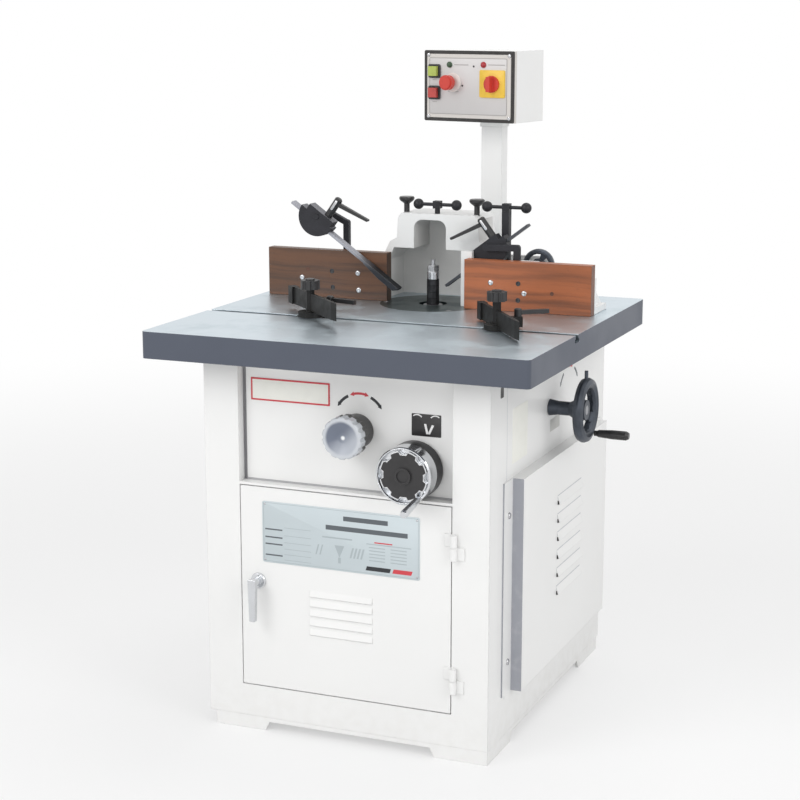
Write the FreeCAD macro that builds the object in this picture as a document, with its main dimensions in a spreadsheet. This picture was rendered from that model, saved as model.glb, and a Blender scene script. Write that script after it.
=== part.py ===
"""Spindle moulder, built from separate pieces in one frame.

X to the right, Y to the rear, Z up from the floor. Sizes are in millimetres and are read from the sheet;
the pieces are drawn about the middle of the table and shifted so that the box stands over the origin.
"""
import math
import os
import re

import FreeCAD
import Part
import Sketcher
from FreeCAD import Placement, Rotation, Vector

SIZES = {
    # frame
    "shift_x": -33.5, "shift_y": -9, "run_gap": 0.05, "free_gap": 0.3, "loose": 0.5,
    # table
    "table_w": 850, "table_d": 820, "table_top": 870, "table_edge": 57, "table_plate": 30,
    "table_rim": 20, "table_corner": 10, "rib_w": 34, "slot_y": -108, "slot_neck": 20,
    "slot_head": 30, "slot_lip": 8, "slot_floor": 8, "table_hole_r": 100,
    "ring_r": 120, "ring_t": 10, "inner_ring_r": 70, "inner_ring_t": 5, "ring_shelf": 10, "ring_hole_r": 32,
    # cabinet
    "cab_w": 640, "cab_front": 335, "cab_base": 30, "sheet": 4, "ledge_t": 6,
    "plinth_left": 306, "plinth_back": 442, "skirt": 6, "floor_t": 6, "skirt_rise": 20, "skirt_slant": 10,
    "foot_w": 118, "foot_front_d": 142, "foot_rear_d": 146, "foot_t": 8, "foot_pad": 90,
    "anchor_r": 7, "anchor_inset": 50, "access_r": 18,
    "recess_half": 240, "recess_low": 550, "recess_high": 800, "recess_depth": 24, "pan_t": 3,
    "cover_front": -203, "cover_rear": 397, "cover_low": 120, "cover_high": 580, "cover_proud": 27,
    "cover_t": 3, "cover_flange": 52, "cover_flange_rear": 30, "cover_louvre_front": 28,
    "cover_louvre_rear": 200, "cover_louvre_low": 262, "cover_louvre_step": 41, "louvre_h": 20,
    "louvre_out": 6,
    "outlet_x": -150, "outlet_z": 640, "outlet_r": 60, "outlet_bore_r": 57, "outlet_len": 30,
    # door
    "door_half": 240, "door_low": 100, "door_high": 544, "door_gap": 2, "door_flange": 13, "door_lip": 12,
    "hinge_x": 246, "hinge_out": 8, "hinge_r": 7, "hinge_pin_r": 4, "hinge_leaf": 22, "leaf_t": 3,
    "hinge_upper": 433, "hinge_lower": 149, "hinge_len": 54, "door_louvre_left": -79, "door_louvre_right": 64,
    "door_louvre_low": 230, "door_louvre_step": 21, "door_louvre_h": 15, "door_louvre_out": 3.5,
    "handle_x": -198, "handle_z": 337, "rose_r": 17, "rose_t": 6, "neck_r": 9, "neck_len": 30,
    "lever_len": 82, "lever_w": 18, "lever_t": 11, "latch_r": 8, "latch_len": 55, "latch_t": 6,
    "latch_back": 18,
    # spindle and quill
    "spindle_y": 165, "quill_r": 55, "quill_wall": 10, "quill_low": 500, "quill_high": 800,
    "quill_arm_t": 24, "bearing_h": 28, "seat_r": 25, "tail_r": 14, "tail_low": 265, "nose_r": 22,
    "arbor_r": 9.525, "spacer_r": 14, "spacer_stack": 58, "nose_drop": 2, "collar_h": 17, "nut_h": 14,
    "tip_r": 5,
    "tip_h": 13,
    "housing_wall": 20, "housing_low": 620, "flange_r": 130, "flange_t": 20, "skirt_r": 95,
    "leg_half": 15, "leg_t": 20, "bridge_low": 360, "bridge_t": 25, "pulley_hub_r": 30,
    "spindle_pulley_r": 45, "pulley_flange": 7, "pulley_low": 295, "pulley_rim": 5, "pulley_face": 50,
    # rise and fall
    "front_x": 153, "front_z": 610, "front_shaft_r": 8, "lead_y": 30, "lead_r": 10, "lead_journal_r": 7,
    "bevel_r": 33.5, "bevel_face": 14, "bevel_gap": 0.5, "front_wheel_r": 59.5, "front_wheel_back": 5,
    "front_wheel_deep": 75, "front_wheel_wall": 4, "lock_wheel_r": 52, "lock_wheel_t": 12, "crank_base": 5,
    "crank_tip": 8.5, "crank_lift": 0.95, "crank_len": 82, "crank_x": 34, "crank_z": -43, "crank_tilt": 9,
    "boss_r": 20, "boss_len": 20,
    "lock_x": 22, "lock_z": 677, "lock_rod_r": 6, "lock_base_r": 36, "lock_base_len": 44, "star_r": 44,
    "star_len": 38, "star_count": 14, "star_dish": 8,
    # belt tension
    "side_y": 44, "side_z": 680, "side_screw_r": 10, "side_rim_r": 70, "side_rim_w": 24, "side_reach": 93,
    "side_crank_y": 29, "side_crank_z": -56, "side_crank_len": 77, "side_crank_r": 10,
    "motor_x": 200, "motor_y": 165, "motor_r": 80, "motor_h": 243, "motor_shaft_r": 12, "motor_pulley_r": 60,
    "rail_half": 90, "rail_w": 20, "rail_len": 305, "plate_t": 12, "plate_left": 105, "plate_right": 300,
    "upright_x": 225, "upright_t": 15, "belt_t": 5, "belt_w": 46,
    # control post and box
    "post_x": 48, "post_clear": 4, "post_edge": 2, "post_w": 50, "post_d": 40, "post_wall": 3,
    "post_top": 1257, "pivot_r": 12,
    "box_turn": -10.3, "box_left": -129, "box_w": 238, "box_front": -105, "box_d": 138, "box_low": 1268,
    "box_h": 161, "box_wall": 3, "box_floor": 8, "cover_deep": 13, "cover_step": 4, "cover_inset": 8,
    "button": 22,
    "button_t": 9, "button_out": 5, "button_stem_r": 8, "button_x": -100, "start_z": 1382, "stop_z": 1333,
    "mushroom_x": -55, "mushroom_z": 1357, "mushroom_r": 17, "mushroom_stem_r": 10, "switch_x": 54,
    "switch_z": 1355, "switch_r": 19, "switch_stem_r": 6,
    # fence
    "hood_front": 200, "hood_back": 308, "hood_wall": 12, "hood_half": 137, "hood_side_h": 98,
    "hood_slope_h": 34, "hood_head_h": 66, "hood_left": -100, "hood_right": 94, "roof_drop": 14,
    "arch_x": -22, "arch_half": 39, "arch_cap": 14, "arch_corner": 20, "arm_low": 945, "arm_high": 978,
    "arm_right": 251, "arm_back": 262,
    "board_h": 110, "board_t": 26, "left_face": 150, "right_face": 120, "left_board_left": -405,
    "left_board_right": -107, "right_board_left": 92, "right_board_right": 385, "carrier_t": 14,
    "left_carrier_h": 95, "carrier_foot": 80, "carrier_foot_t": 14, "rib_t": 10, "right_carrier_t": 12,
    "right_carrier_left": 74, "right_carrier_h": 125, "right_step_h": 80, "right_foot_left": 145,
    "micro_x": 233, "micro_z": 963, "micro_y": 210, "micro_r": 36, "micro_w": 16, "micro_screw_r": 6,
    "ear_half": 21, "clamp_y": 226, "clamp_left_x": -89, "clamp_right_x": 82, "clamp_r": 17.5, "clamp_t": 12,
    "clamp_stem_r": 6.5, "clamp_h": 35, "clamp_deep": 10, "tommy_x": -9, "tommy_y": 214, "tommy_r": 4,
    "tommy_half": 46, "tommy_ball_r": 12, "tommy_block": 17, "tommy_stem": 12, "tommy_stem_r": 6,
    "post_screw_x": 159, "post_screw_y": 208, "post_screw_w": 17, "post_screw_top": 1081,
    "post_screw_deep": 40,
    # hold-downs
    "half_disc_r": 45, "holder_half": 14.5, "bar_w": 20, "bar_t": 6, "bar_down": 13, "cap_h": 14,
    "cap_back": 30,
    "cap_fore": 40, "pin_r": 6, "lever_at": 18, "lever_hub_r": 9, "lever_hub_h": 50, "lever_drop": 14,
    "lever_stud_r": 5,
    "lever_reach": 84, "lever_rise": 16, "lever_rod_r": 5, "shoe_len": 100, "shoe_half": 13, "shoe_t": 12,
    "left_tilt": 35.5, "left_x": -267, "left_y": 132, "left_z": 1060, "left_bar_back": 70,
    "left_bar_fore": 252,
    "left_post_x": -226, "left_post_top": 1047, "down_post_w": 14, "down_post_t": 12,
    "right_tilt": 37, "right_x": 133, "right_y": 173, "right_z": 1005, "right_bar_back": 103,
    "right_bar_fore": 138, "right_post_x": 204, "right_post_top": 1014,
    # hold-ins in the slot
    "left_shoe_x": -178, "right_shoe_x": 250, "foot_r": 27, "foot_disc_t": 12, "stem_r": 9, "stem_top": 930,
    "leaf_h": 38, "leaf_th": 7, "leaf_fore": 160, "leaf_rear": 122, "leaf_point": 24, "leaf_pad": 16,
    "leaf_pad_len": 26, "left_leaf_turn": -45, "right_leaf_turn": -54, "left_leaf_low": 884,
    "right_leaf_low": 874, "key_len": 60, "shoe_knob_r": 21, "shoe_knob_t": 20, "clamp_out": 46,
    "clamp_z": 896, "clamp_hub_r": 8, "clamp_hub_h": 17, "clamp_stud_r": 4, "clamp_handle": 68,
    "left_clamp_turn": -14.5, "right_clamp_turn": 38,
}

DERIVED = {
    "cab_top": "table_top - table_edge",
    "plate_low": "table_top - table_plate",
    "half_w": "table_w / 2",
    "half_d": "table_d / 2",
    "post_y": "half_d + post_clear + post_d / 2",
    "cab_back": "post_y + post_d / 2 + post_edge",
    "cab_half": "cab_w / 2",
    "front_in": "-cab_front + sheet",
    "recess_face": "-cab_front + recess_depth",
    "wall_in": "cab_half - sheet",
    "rib_in": "cab_half - rib_w + 14",
    "rib_out": "cab_half + 14",
    "rib_front_in": "-cab_front + rib_w - 14",
    "rib_front_out": "-cab_front - 14",
    "bridge_top": "bridge_low + bridge_t",
    "lead_dy": "lead_y - spindle_y",
    "pulley_top": "pulley_low + 2 * pulley_rim + pulley_face",
    "plate_top": "bridge_top + plate_t",
    "left_back": "left_face + board_t",
    "right_back": "right_face + board_t",
    "left_plate_back": "left_back + carrier_t",
    "right_plate_back": "right_back + right_carrier_t",
    "foot_top": "table_top + carrier_foot_t",
    "left_carrier_top": "table_top + left_carrier_h",
    "right_carrier_top": "table_top + right_carrier_h",
    "right_carrier_low": "table_top + right_step_h",
    "hood_side_top": "table_top + hood_side_h",
    "hood_shoulder": "hood_side_top + hood_slope_h",
    "hood_top": "hood_shoulder + hood_head_h",
    "hood_roof": "hood_shoulder - roof_drop",
    "arch_top": "hood_top - arch_cap",
    "side_hub": "side_reach - 9",
    "hinge_y": "-cab_front - hinge_out",
    "box_top": "box_low + box_h",
    "box_right": "box_left + box_w",
    "box_rear": "box_front + box_d",
    "panel_back": "box_front + cover_deep",
    "slot_mid": "table_top - slot_lip",
    "slot_low": "slot_mid - slot_floor",
    "nose_top": "table_top - nose_drop",
    "spacer_top": "nose_top + spacer_stack",
    "collar_top": "spacer_top + collar_h",
    "nut_top": "collar_top + nut_h",
    "side_outer": "cab_half + cover_proud",
}

doc = FreeCAD.newDocument("SpindleMoulder")
sheet = doc.addObject("Spreadsheet::Sheet", "Sizes")
for row, (alias, value) in enumerate(SIZES.items(), 1):
    sheet.set("A%d" % row, alias)
    sheet.set("B%d" % row, str(value))
    sheet.setAlias("B%d" % row, alias)
doc.recompute()

NODES = []
UP = Rotation()
FRONT = Rotation(Vector(1, 0, 0), 90)
RIGHT = Rotation(Vector(0, 1, 0), 90)


def words(text):
    """The text with every size written as its cell in the sheet."""
    def swap(match):
        name = match.group(0)
        if name in DERIVED:
            return "(" + words(DERIVED[name]) + ")"
        return "Sizes." + name if name in SIZES else name
    return re.sub(r"[A-Za-z_]+", swap, str(text))


def num(text):
    return float(sheet.evalExpression(words(text)))


def bind(thing, path, text):
    thing.setExpression(path, words(text))


def place(thing, at, turn=UP):
    thing.Placement = Placement(Vector(), turn)
    bind(thing, "Placement.Base.x", "shift_x + (%s)" % at[0])
    bind(thing, "Placement.Base.y", "shift_y + (%s)" % at[1])
    bind(thing, "Placement.Base.z", at[2])


def new_body(label, at=(0, 0, 0), turn=UP):
    body = doc.addObject("PartDesign::Body", label)
    body.Label = label
    place(body, at, turn)
    NODES.append(body)
    return body


def rect(left, right, low, high):
    return [(left, low), (right, low), (right, high), (left, high)]


def disc(x, y, radius):
    return ("disc", x, y, radius)


def origin(body, role):
    return [feature for feature in body.Origin.OriginFeatures if feature.Role == role][0]


def draw(body, plane, lift, loops):
    """A sketch on one of the body's own planes; each corner and radius is bound to the sheet."""
    sketch = body.newObject("Sketcher::SketchObject", "Sketch")
    sketch.AttachmentSupport = [(origin(body, plane + "_Plane"), "")]
    sketch.MapMode = "FlatFace"
    bind(sketch, "AttachmentOffset.Base.z", lift)
    rules = []
    texts = []
    for loop in loops:
        first = sketch.GeometryCount
        if loop[0] == "disc":
            x, y, radius = loop[1:]
            sketch.addGeometry(Part.Circle(Vector(num(x), num(y), 0), Vector(0, 0, 1), num(radius)))
            rules.append(Sketcher.Constraint("DistanceX", -1, 1, first, 3, num(x)))
            rules.append(Sketcher.Constraint("DistanceY", -1, 1, first, 3, num(y)))
            rules.append(Sketcher.Constraint("Radius", first, num(radius)))
            texts += [x, y, radius]
            continue
        spots = [Vector(num(x), num(y), 0) for x, y in loop]
        count = len(spots)
        sketch.addGeometry([Part.LineSegment(spots[i], spots[(i + 1) % count]) for i in range(count)])
        for i in range(count):
            rules.append(Sketcher.Constraint("Coincident", first + i, 2, first + (i + 1) % count, 1))
            texts.append(None)
        for i, (x, y) in enumerate(loop):
            rules.append(Sketcher.Constraint("DistanceX", -1, 1, first + i, 1, spots[i].x))
            rules.append(Sketcher.Constraint("DistanceY", -1, 1, first + i, 1, spots[i].y))
            texts += [x, y]
    sketch.addConstraint(rules)
    for i, text in enumerate(texts):
        if text is not None and re.search("[A-Za-z]", str(text)):
            bind(sketch, "Constraints[%d]" % i, text)
    return sketch


def slab(kind, body, plane, low, high, loops):
    lift = "-(%s)" % high if plane == "XZ" else str(low)
    sketch = draw(body, plane, lift, loops)
    feature = body.newObject(kind, "Slab")
    feature.Profile = sketch
    bind(feature, "Length", "(%s) - (%s)" % (high, low))
    return feature


def pad(body, plane, low, high, *loops):
    return slab("PartDesign::Pad", body, plane, low, high, loops)


def cut(body, plane, low, high, *loops):
    feature = slab("PartDesign::Pocket", body, plane, low, high, loops)
    feature.Reversed = True
    return feature


def around(body, feature, count):
    pattern = body.newObject("PartDesign::PolarPattern", "Around")
    pattern.Originals = [feature]
    pattern.Axis = (origin(body, "Z_Axis"), [""])
    bind(pattern, "Occurrences", count)
    body.Tip = pattern
    return pattern


def spin(body, profile):
    sketch = draw(body, "XZ", 0, [profile])
    feature = body.newObject("PartDesign::Revolution", "Turned")
    feature.Profile = sketch
    feature.ReferenceAxis = (sketch, ["V_Axis"])
    feature.Angle = 360
    return feature


def turned(label, at, turn, profile):
    body = new_body(label, at, turn)
    spin(body, profile)
    return body


def ball(body, x, y, z, radius):
    sphere = body.newObject("PartDesign::AdditiveSphere", "Ball")
    sphere.Placement = Placement(Vector(), Rotation(Vector(0, 0, 1), 90))
    bind(sphere, "Radius", radius)
    bind(sphere, "Placement.Base.x", x)
    bind(sphere, "Placement.Base.y", y)
    bind(sphere, "Placement.Base.z", z)


def sector(near, far, half):
    """A window between two radii, so many degrees to each side of the X axis, with straight sides."""
    points = []
    for radius, turns in ((near, (-1, 0, 1)), (far, (1, 0.5, 0, -0.5, -1))):
        for turn in turns:
            angle = math.radians(half * turn)
            points.append(("%.6f * (%s)" % (math.cos(angle), radius),
                           "%.6f * (%s)" % (math.sin(angle), radius)))
    return points


def soften(body, radius, pick):
    doc.recompute()
    tip = body.Tip
    names = ["Edge%d" % i for i, edge in enumerate(tip.Shape.Edges, 1) if pick(edge)]
    fillet = body.newObject("PartDesign::Fillet", "Soft")
    fillet.Base = (tip, names)
    bind(fillet, "Radius", radius)


def upright(edge):
    ends = [vertex.Point for vertex in edge.Vertexes]
    return len(ends) == 2 and (ends[1] - ends[0]).cross(Vector(0, 0, 1)).Length < 1e-6


def cylinder(name, x, y, low, high, radius):
    solid = doc.addObject("Part::Cylinder", name)
    bind(solid, "Radius", radius)
    bind(solid, "Height", "(%s) - (%s)" % (high, low))
    bind(solid, "Placement.Base.x", x)
    bind(solid, "Placement.Base.y", y)
    bind(solid, "Placement.Base.z", low)
    return solid


def block(name, left, right, front, rear, low, high):
    solid = doc.addObject("Part::Box", name)
    for side, path, start, end in (("Length", "x", left, right), ("Width", "y", front, rear),
                                   ("Height", "z", low, high)):
        bind(solid, side, "(%s) - (%s)" % (end, start))
        bind(solid, "Placement.Base." + path, start)
    return solid


def tube(name, x, y, low, high, outer, inner):
    solid = doc.addObject("Part::Cut", name)
    solid.Base = cylinder(name + "_out", x, y, low, high, outer)
    solid.Tool = cylinder(name + "_in", x, y, low, high, inner)
    return solid


def group(label, members):
    """Several separate solids under one label."""
    compound = doc.addObject("Part::Compound", label)
    compound.Label = label
    compound.Links = members
    place(compound, (0, 0, 0))
    NODES.append(compound)


def plinth():
    body = new_body("plinth")
    pad(body, "XY", "cab_base - floor_t", "cab_base",
        rect("-plinth_left", "cab_half", "-cab_front", "plinth_back"))
    pad(body, "XY", 0, "cab_base", rect("-plinth_left", "cab_half", "-cab_front", "plinth_back"),
        rect("-plinth_left + skirt", "cab_half - skirt", "-cab_front + skirt", "plinth_back - skirt"))
    cut(body, "XZ", "-cab_front", "plinth_back",
        [("-plinth_left + foot_w", 0), ("cab_half - foot_w", 0),
         ("cab_half - foot_w - skirt_slant", "skirt_rise"),
         ("-plinth_left + foot_w + skirt_slant", "skirt_rise")])
    cut(body, "YZ", "-plinth_left", "cab_half",
        [("-cab_front + foot_front_d", 0), ("plinth_back - foot_rear_d", 0),
         ("plinth_back - foot_rear_d - skirt_slant", "skirt_rise"),
         ("-cab_front + foot_front_d + skirt_slant", "skirt_rise")])
    west = ("-plinth_left", "-plinth_left + foot_pad")
    east = ("cab_half - foot_pad", "cab_half")
    south = ("-cab_front", "-cab_front + foot_pad")
    north = ("plinth_back - foot_pad", "plinth_back")
    pads = [rect(*across, *along) for across in (west, east) for along in (south, north)]
    pad(body, "XY", 0, "foot_t", *pads)
    spots = [(x, y) for x in ("-plinth_left + anchor_inset", "cab_half - anchor_inset")
             for y in ("-cab_front + anchor_inset", "plinth_back - anchor_inset")]
    cut(body, "XY", 0, "foot_t", *[disc(x, y, "anchor_r") for x, y in spots])
    cut(body, "XY", "cab_base - floor_t", "cab_base", *[disc(x, y, "access_r") for x, y in spots])


def cabinet():
    shell = new_body("cabinet_shell")
    pad(shell, "XY", "cab_base", "cab_top",
        [("-cab_half", "front_in"), ("-wall_in", "front_in"), ("-wall_in", "cab_back - sheet"),
         ("wall_in", "cab_back - sheet"), ("wall_in", "front_in"), ("cab_half", "front_in"),
         ("cab_half", "cab_back"), ("-cab_half", "cab_back")])
    pad(shell, "XY", "cab_top - ledge_t", "cab_top",
        rect("-wall_in - 1", "wall_in + 1", "half_d + 2", "cab_back - sheet + 1"))
    pad(shell, "YZ", "wall_in - boss_len", "wall_in + 1", disc("side_y", "side_z", "boss_r"))
    cut(shell, "YZ", "wall_in - boss_len", "cab_half", disc("side_y", "side_z", "side_screw_r + run_gap"))
    pad(shell, "XZ", "cab_back - 1", "cab_back + outlet_len", disc("outlet_x", "outlet_z", "outlet_r"))
    cut(shell, "XZ", "cab_back - sheet", "cab_back + outlet_len",
        disc("outlet_x", "outlet_z", "outlet_bore_r"))

    front = new_body("cabinet_front")
    pad(front, "XZ", "-cab_front", "front_in", rect("-cab_half", "cab_half", "cab_base", "cab_top"),
        rect("-recess_half", "recess_half", "recess_low", "recess_high"),
        rect("-door_half", "door_half", "door_low", "door_high"))
    pan = rect("-recess_half - pan_t", "recess_half + pan_t", "recess_low - pan_t", "recess_high + pan_t")
    pad(front, "XZ", "front_in", "recess_face + pan_t", pan,
        rect("-recess_half", "recess_half", "recess_low", "recess_high"))
    pad(front, "XZ", "recess_face", "recess_face + pan_t", pan)
    pad(front, "XZ", "recess_face + pan_t", "recess_face + pan_t + boss_len",
        disc("front_x", "front_z", "boss_r"), disc("lock_x", "lock_z", "boss_r"))
    pad(front, "XZ", "front_in", "front_in + door_lip",
        rect("-door_half - pan_t", "-door_half", "door_low", "door_high"))
    cut(front, "XZ", "recess_face", "recess_face + pan_t + boss_len",
        disc("front_x", "front_z", "front_shaft_r + run_gap"),
        disc("lock_x", "lock_z", "lock_rod_r + run_gap"))

    cover = new_body("side_cover")
    pad(cover, "YZ", "cab_half", "side_outer", rect("cover_front", "cover_rear", "cover_low", "cover_high"))
    cut(cover, "YZ", "cab_half", "side_outer - cover_t",
        rect("cover_front + cover_t", "cover_rear - cover_t", "cover_low + cover_t", "cover_high - cover_t"))
    pad(cover, "YZ", "cab_half", "cab_half + cover_t",
        rect("cover_front - cover_flange", "cover_front + cover_t", "cover_low", "cover_high"),
        rect("cover_rear - cover_t", "cover_rear + cover_flange_rear", "cover_low", "cover_high"))
    slats = []
    for i in range(6):
        foot = "cover_louvre_low + %d * cover_louvre_step" % i
        slats.append([("side_outer", foot), ("side_outer + louvre_out", foot + " + 2"),
                      ("side_outer", foot + " + louvre_h")])
    pad(cover, "XZ", "cover_louvre_front", "cover_louvre_rear", *slats)


def door():
    body = new_body("door")
    outer = rect("-door_half + door_gap", "door_half - door_gap", "door_low + door_gap",
                 "door_high - door_gap")
    pad(body, "XZ", "-cab_front", "front_in", outer)
    pad(body, "XZ", "front_in", "front_in + door_flange", outer,
        rect("-door_half + door_gap + pan_t", "door_half - door_gap - pan_t",
             "door_low + door_gap + pan_t", "door_high - door_gap - pan_t"))
    halves = [("%s + hinge_len / 2 + loose" % low, "%s + hinge_len" % low)
              for low in ("hinge_upper", "hinge_lower")]
    pad(body, "XZ", "-cab_front - leaf_t", "-cab_front",
        *[rect("hinge_x - hinge_leaf", "hinge_x", low, high) for low, high in halves])
    for low, high in halves:
        pad(body, "XY", low, high, disc("hinge_x", "hinge_y", "hinge_r"))
        cut(body, "XY", low, high, disc("hinge_x", "hinge_y", "hinge_pin_r + run_gap"))
    slats = []
    for i in range(5):
        foot = "door_louvre_low + %d * door_louvre_step" % i
        slats.append([("-cab_front", foot), ("-cab_front - door_louvre_out", foot + " + 2"),
                      ("-cab_front", foot + " + door_louvre_h")])
    pad(body, "YZ", "door_louvre_left", "door_louvre_right", *slats)
    cut(body, "XZ", "-cab_front", "front_in", disc("handle_x", "handle_z", "latch_r + free_gap"))

    hinges = []
    for name in ("hinge_upper", "hinge_lower"):
        half = "%s + hinge_len / 2" % name
        knuckle = cylinder(name + "_knuckle", "hinge_x", "hinge_y", name, half, "hinge_r")
        pin = cylinder(name + "_pin", "hinge_x", "hinge_y", name, "%s + hinge_len" % name, "hinge_pin_r")
        leaf = block(name + "_leaf", "hinge_x", "hinge_x + hinge_leaf", "-cab_front - leaf_t", "-cab_front",
                     name, half)
        whole = doc.addObject("Part::MultiFuse", name + "_fixed")
        whole.Shapes = [knuckle, pin, leaf]
        hinges.append(whole)
    group("door_hinges", hinges)

    handle = turned("door_handle", ("handle_x", "-cab_front", "handle_z"), FRONT,
                    [(0, "-latch_back - latch_t"), ("latch_r", "-latch_back - latch_t"),
                     ("latch_r", "free_gap"),
                     ("rose_r", "free_gap"), ("rose_r", "rose_t - 2"), ("rose_r - 2", "rose_t"),
                     ("neck_r", "rose_t"),
                     ("neck_r", "rose_t + neck_len"), (0, "rose_t + neck_len")])
    pad(handle, "XY", "rose_t + neck_len - lever_t", "rose_t + neck_len",
        [("-lever_w / 2", "lever_w / 2"), ("-lever_w / 3", "-lever_len"), ("lever_w / 3", "-lever_len"),
         ("lever_w / 2", "lever_w / 2")])
    pad(handle, "XY", "-latch_back - latch_t", "-latch_back",
        rect("-latch_r - 2", "latch_r + 2", "-latch_len", "latch_r + 2"))


def table():
    body = new_body("table")
    pad(body, "XY", "cab_top", "table_top", rect("-half_w", "half_w", "-half_d", "half_d"))
    soften(body, "table_corner", upright)
    cut(body, "XY", "cab_top", "plate_low",
        rect("-half_w + table_rim", "-rib_out", "-half_d + table_rim", "half_d - table_rim"),
        rect("rib_out", "half_w - table_rim", "-half_d + table_rim", "half_d - table_rim"),
        rect("-rib_in", "rib_in", "-half_d + table_rim", "rib_front_out"),
        rect("-rib_in", "rib_in", "rib_front_in", "half_d - table_rim"))
    cut(body, "XY", "slot_mid", "table_top",
        rect("-half_w", "half_w", "slot_y - slot_neck / 2", "slot_y + slot_neck / 2"))
    cut(body, "XY", "slot_low", "slot_mid",
        rect("-half_w", "half_w", "slot_y - slot_head / 2", "slot_y + slot_head / 2"))
    cut(body, "XY", "plate_low", "table_top", disc(0, "spindle_y", "table_hole_r"))
    cut(body, "XY", "table_top - ring_t", "table_top", disc(0, "spindle_y", "ring_r + free_gap"))

    seat = doc.addObject("Part::Cut", "outer_ring")
    seat.Base = tube("outer_ring_plain", 0, "spindle_y", "table_top - ring_t", "table_top", "ring_r",
                     "inner_ring_r - ring_shelf")
    seat.Tool = cylinder("outer_ring_seat", 0, "spindle_y", "table_top - inner_ring_t", "table_top",
                         "inner_ring_r + free_gap")
    inner = tube("inner_ring", 0, "spindle_y", "table_top - inner_ring_t", "table_top", "inner_ring_r",
                 "ring_hole_r")
    group("insert_rings", [seat, inner])


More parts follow.
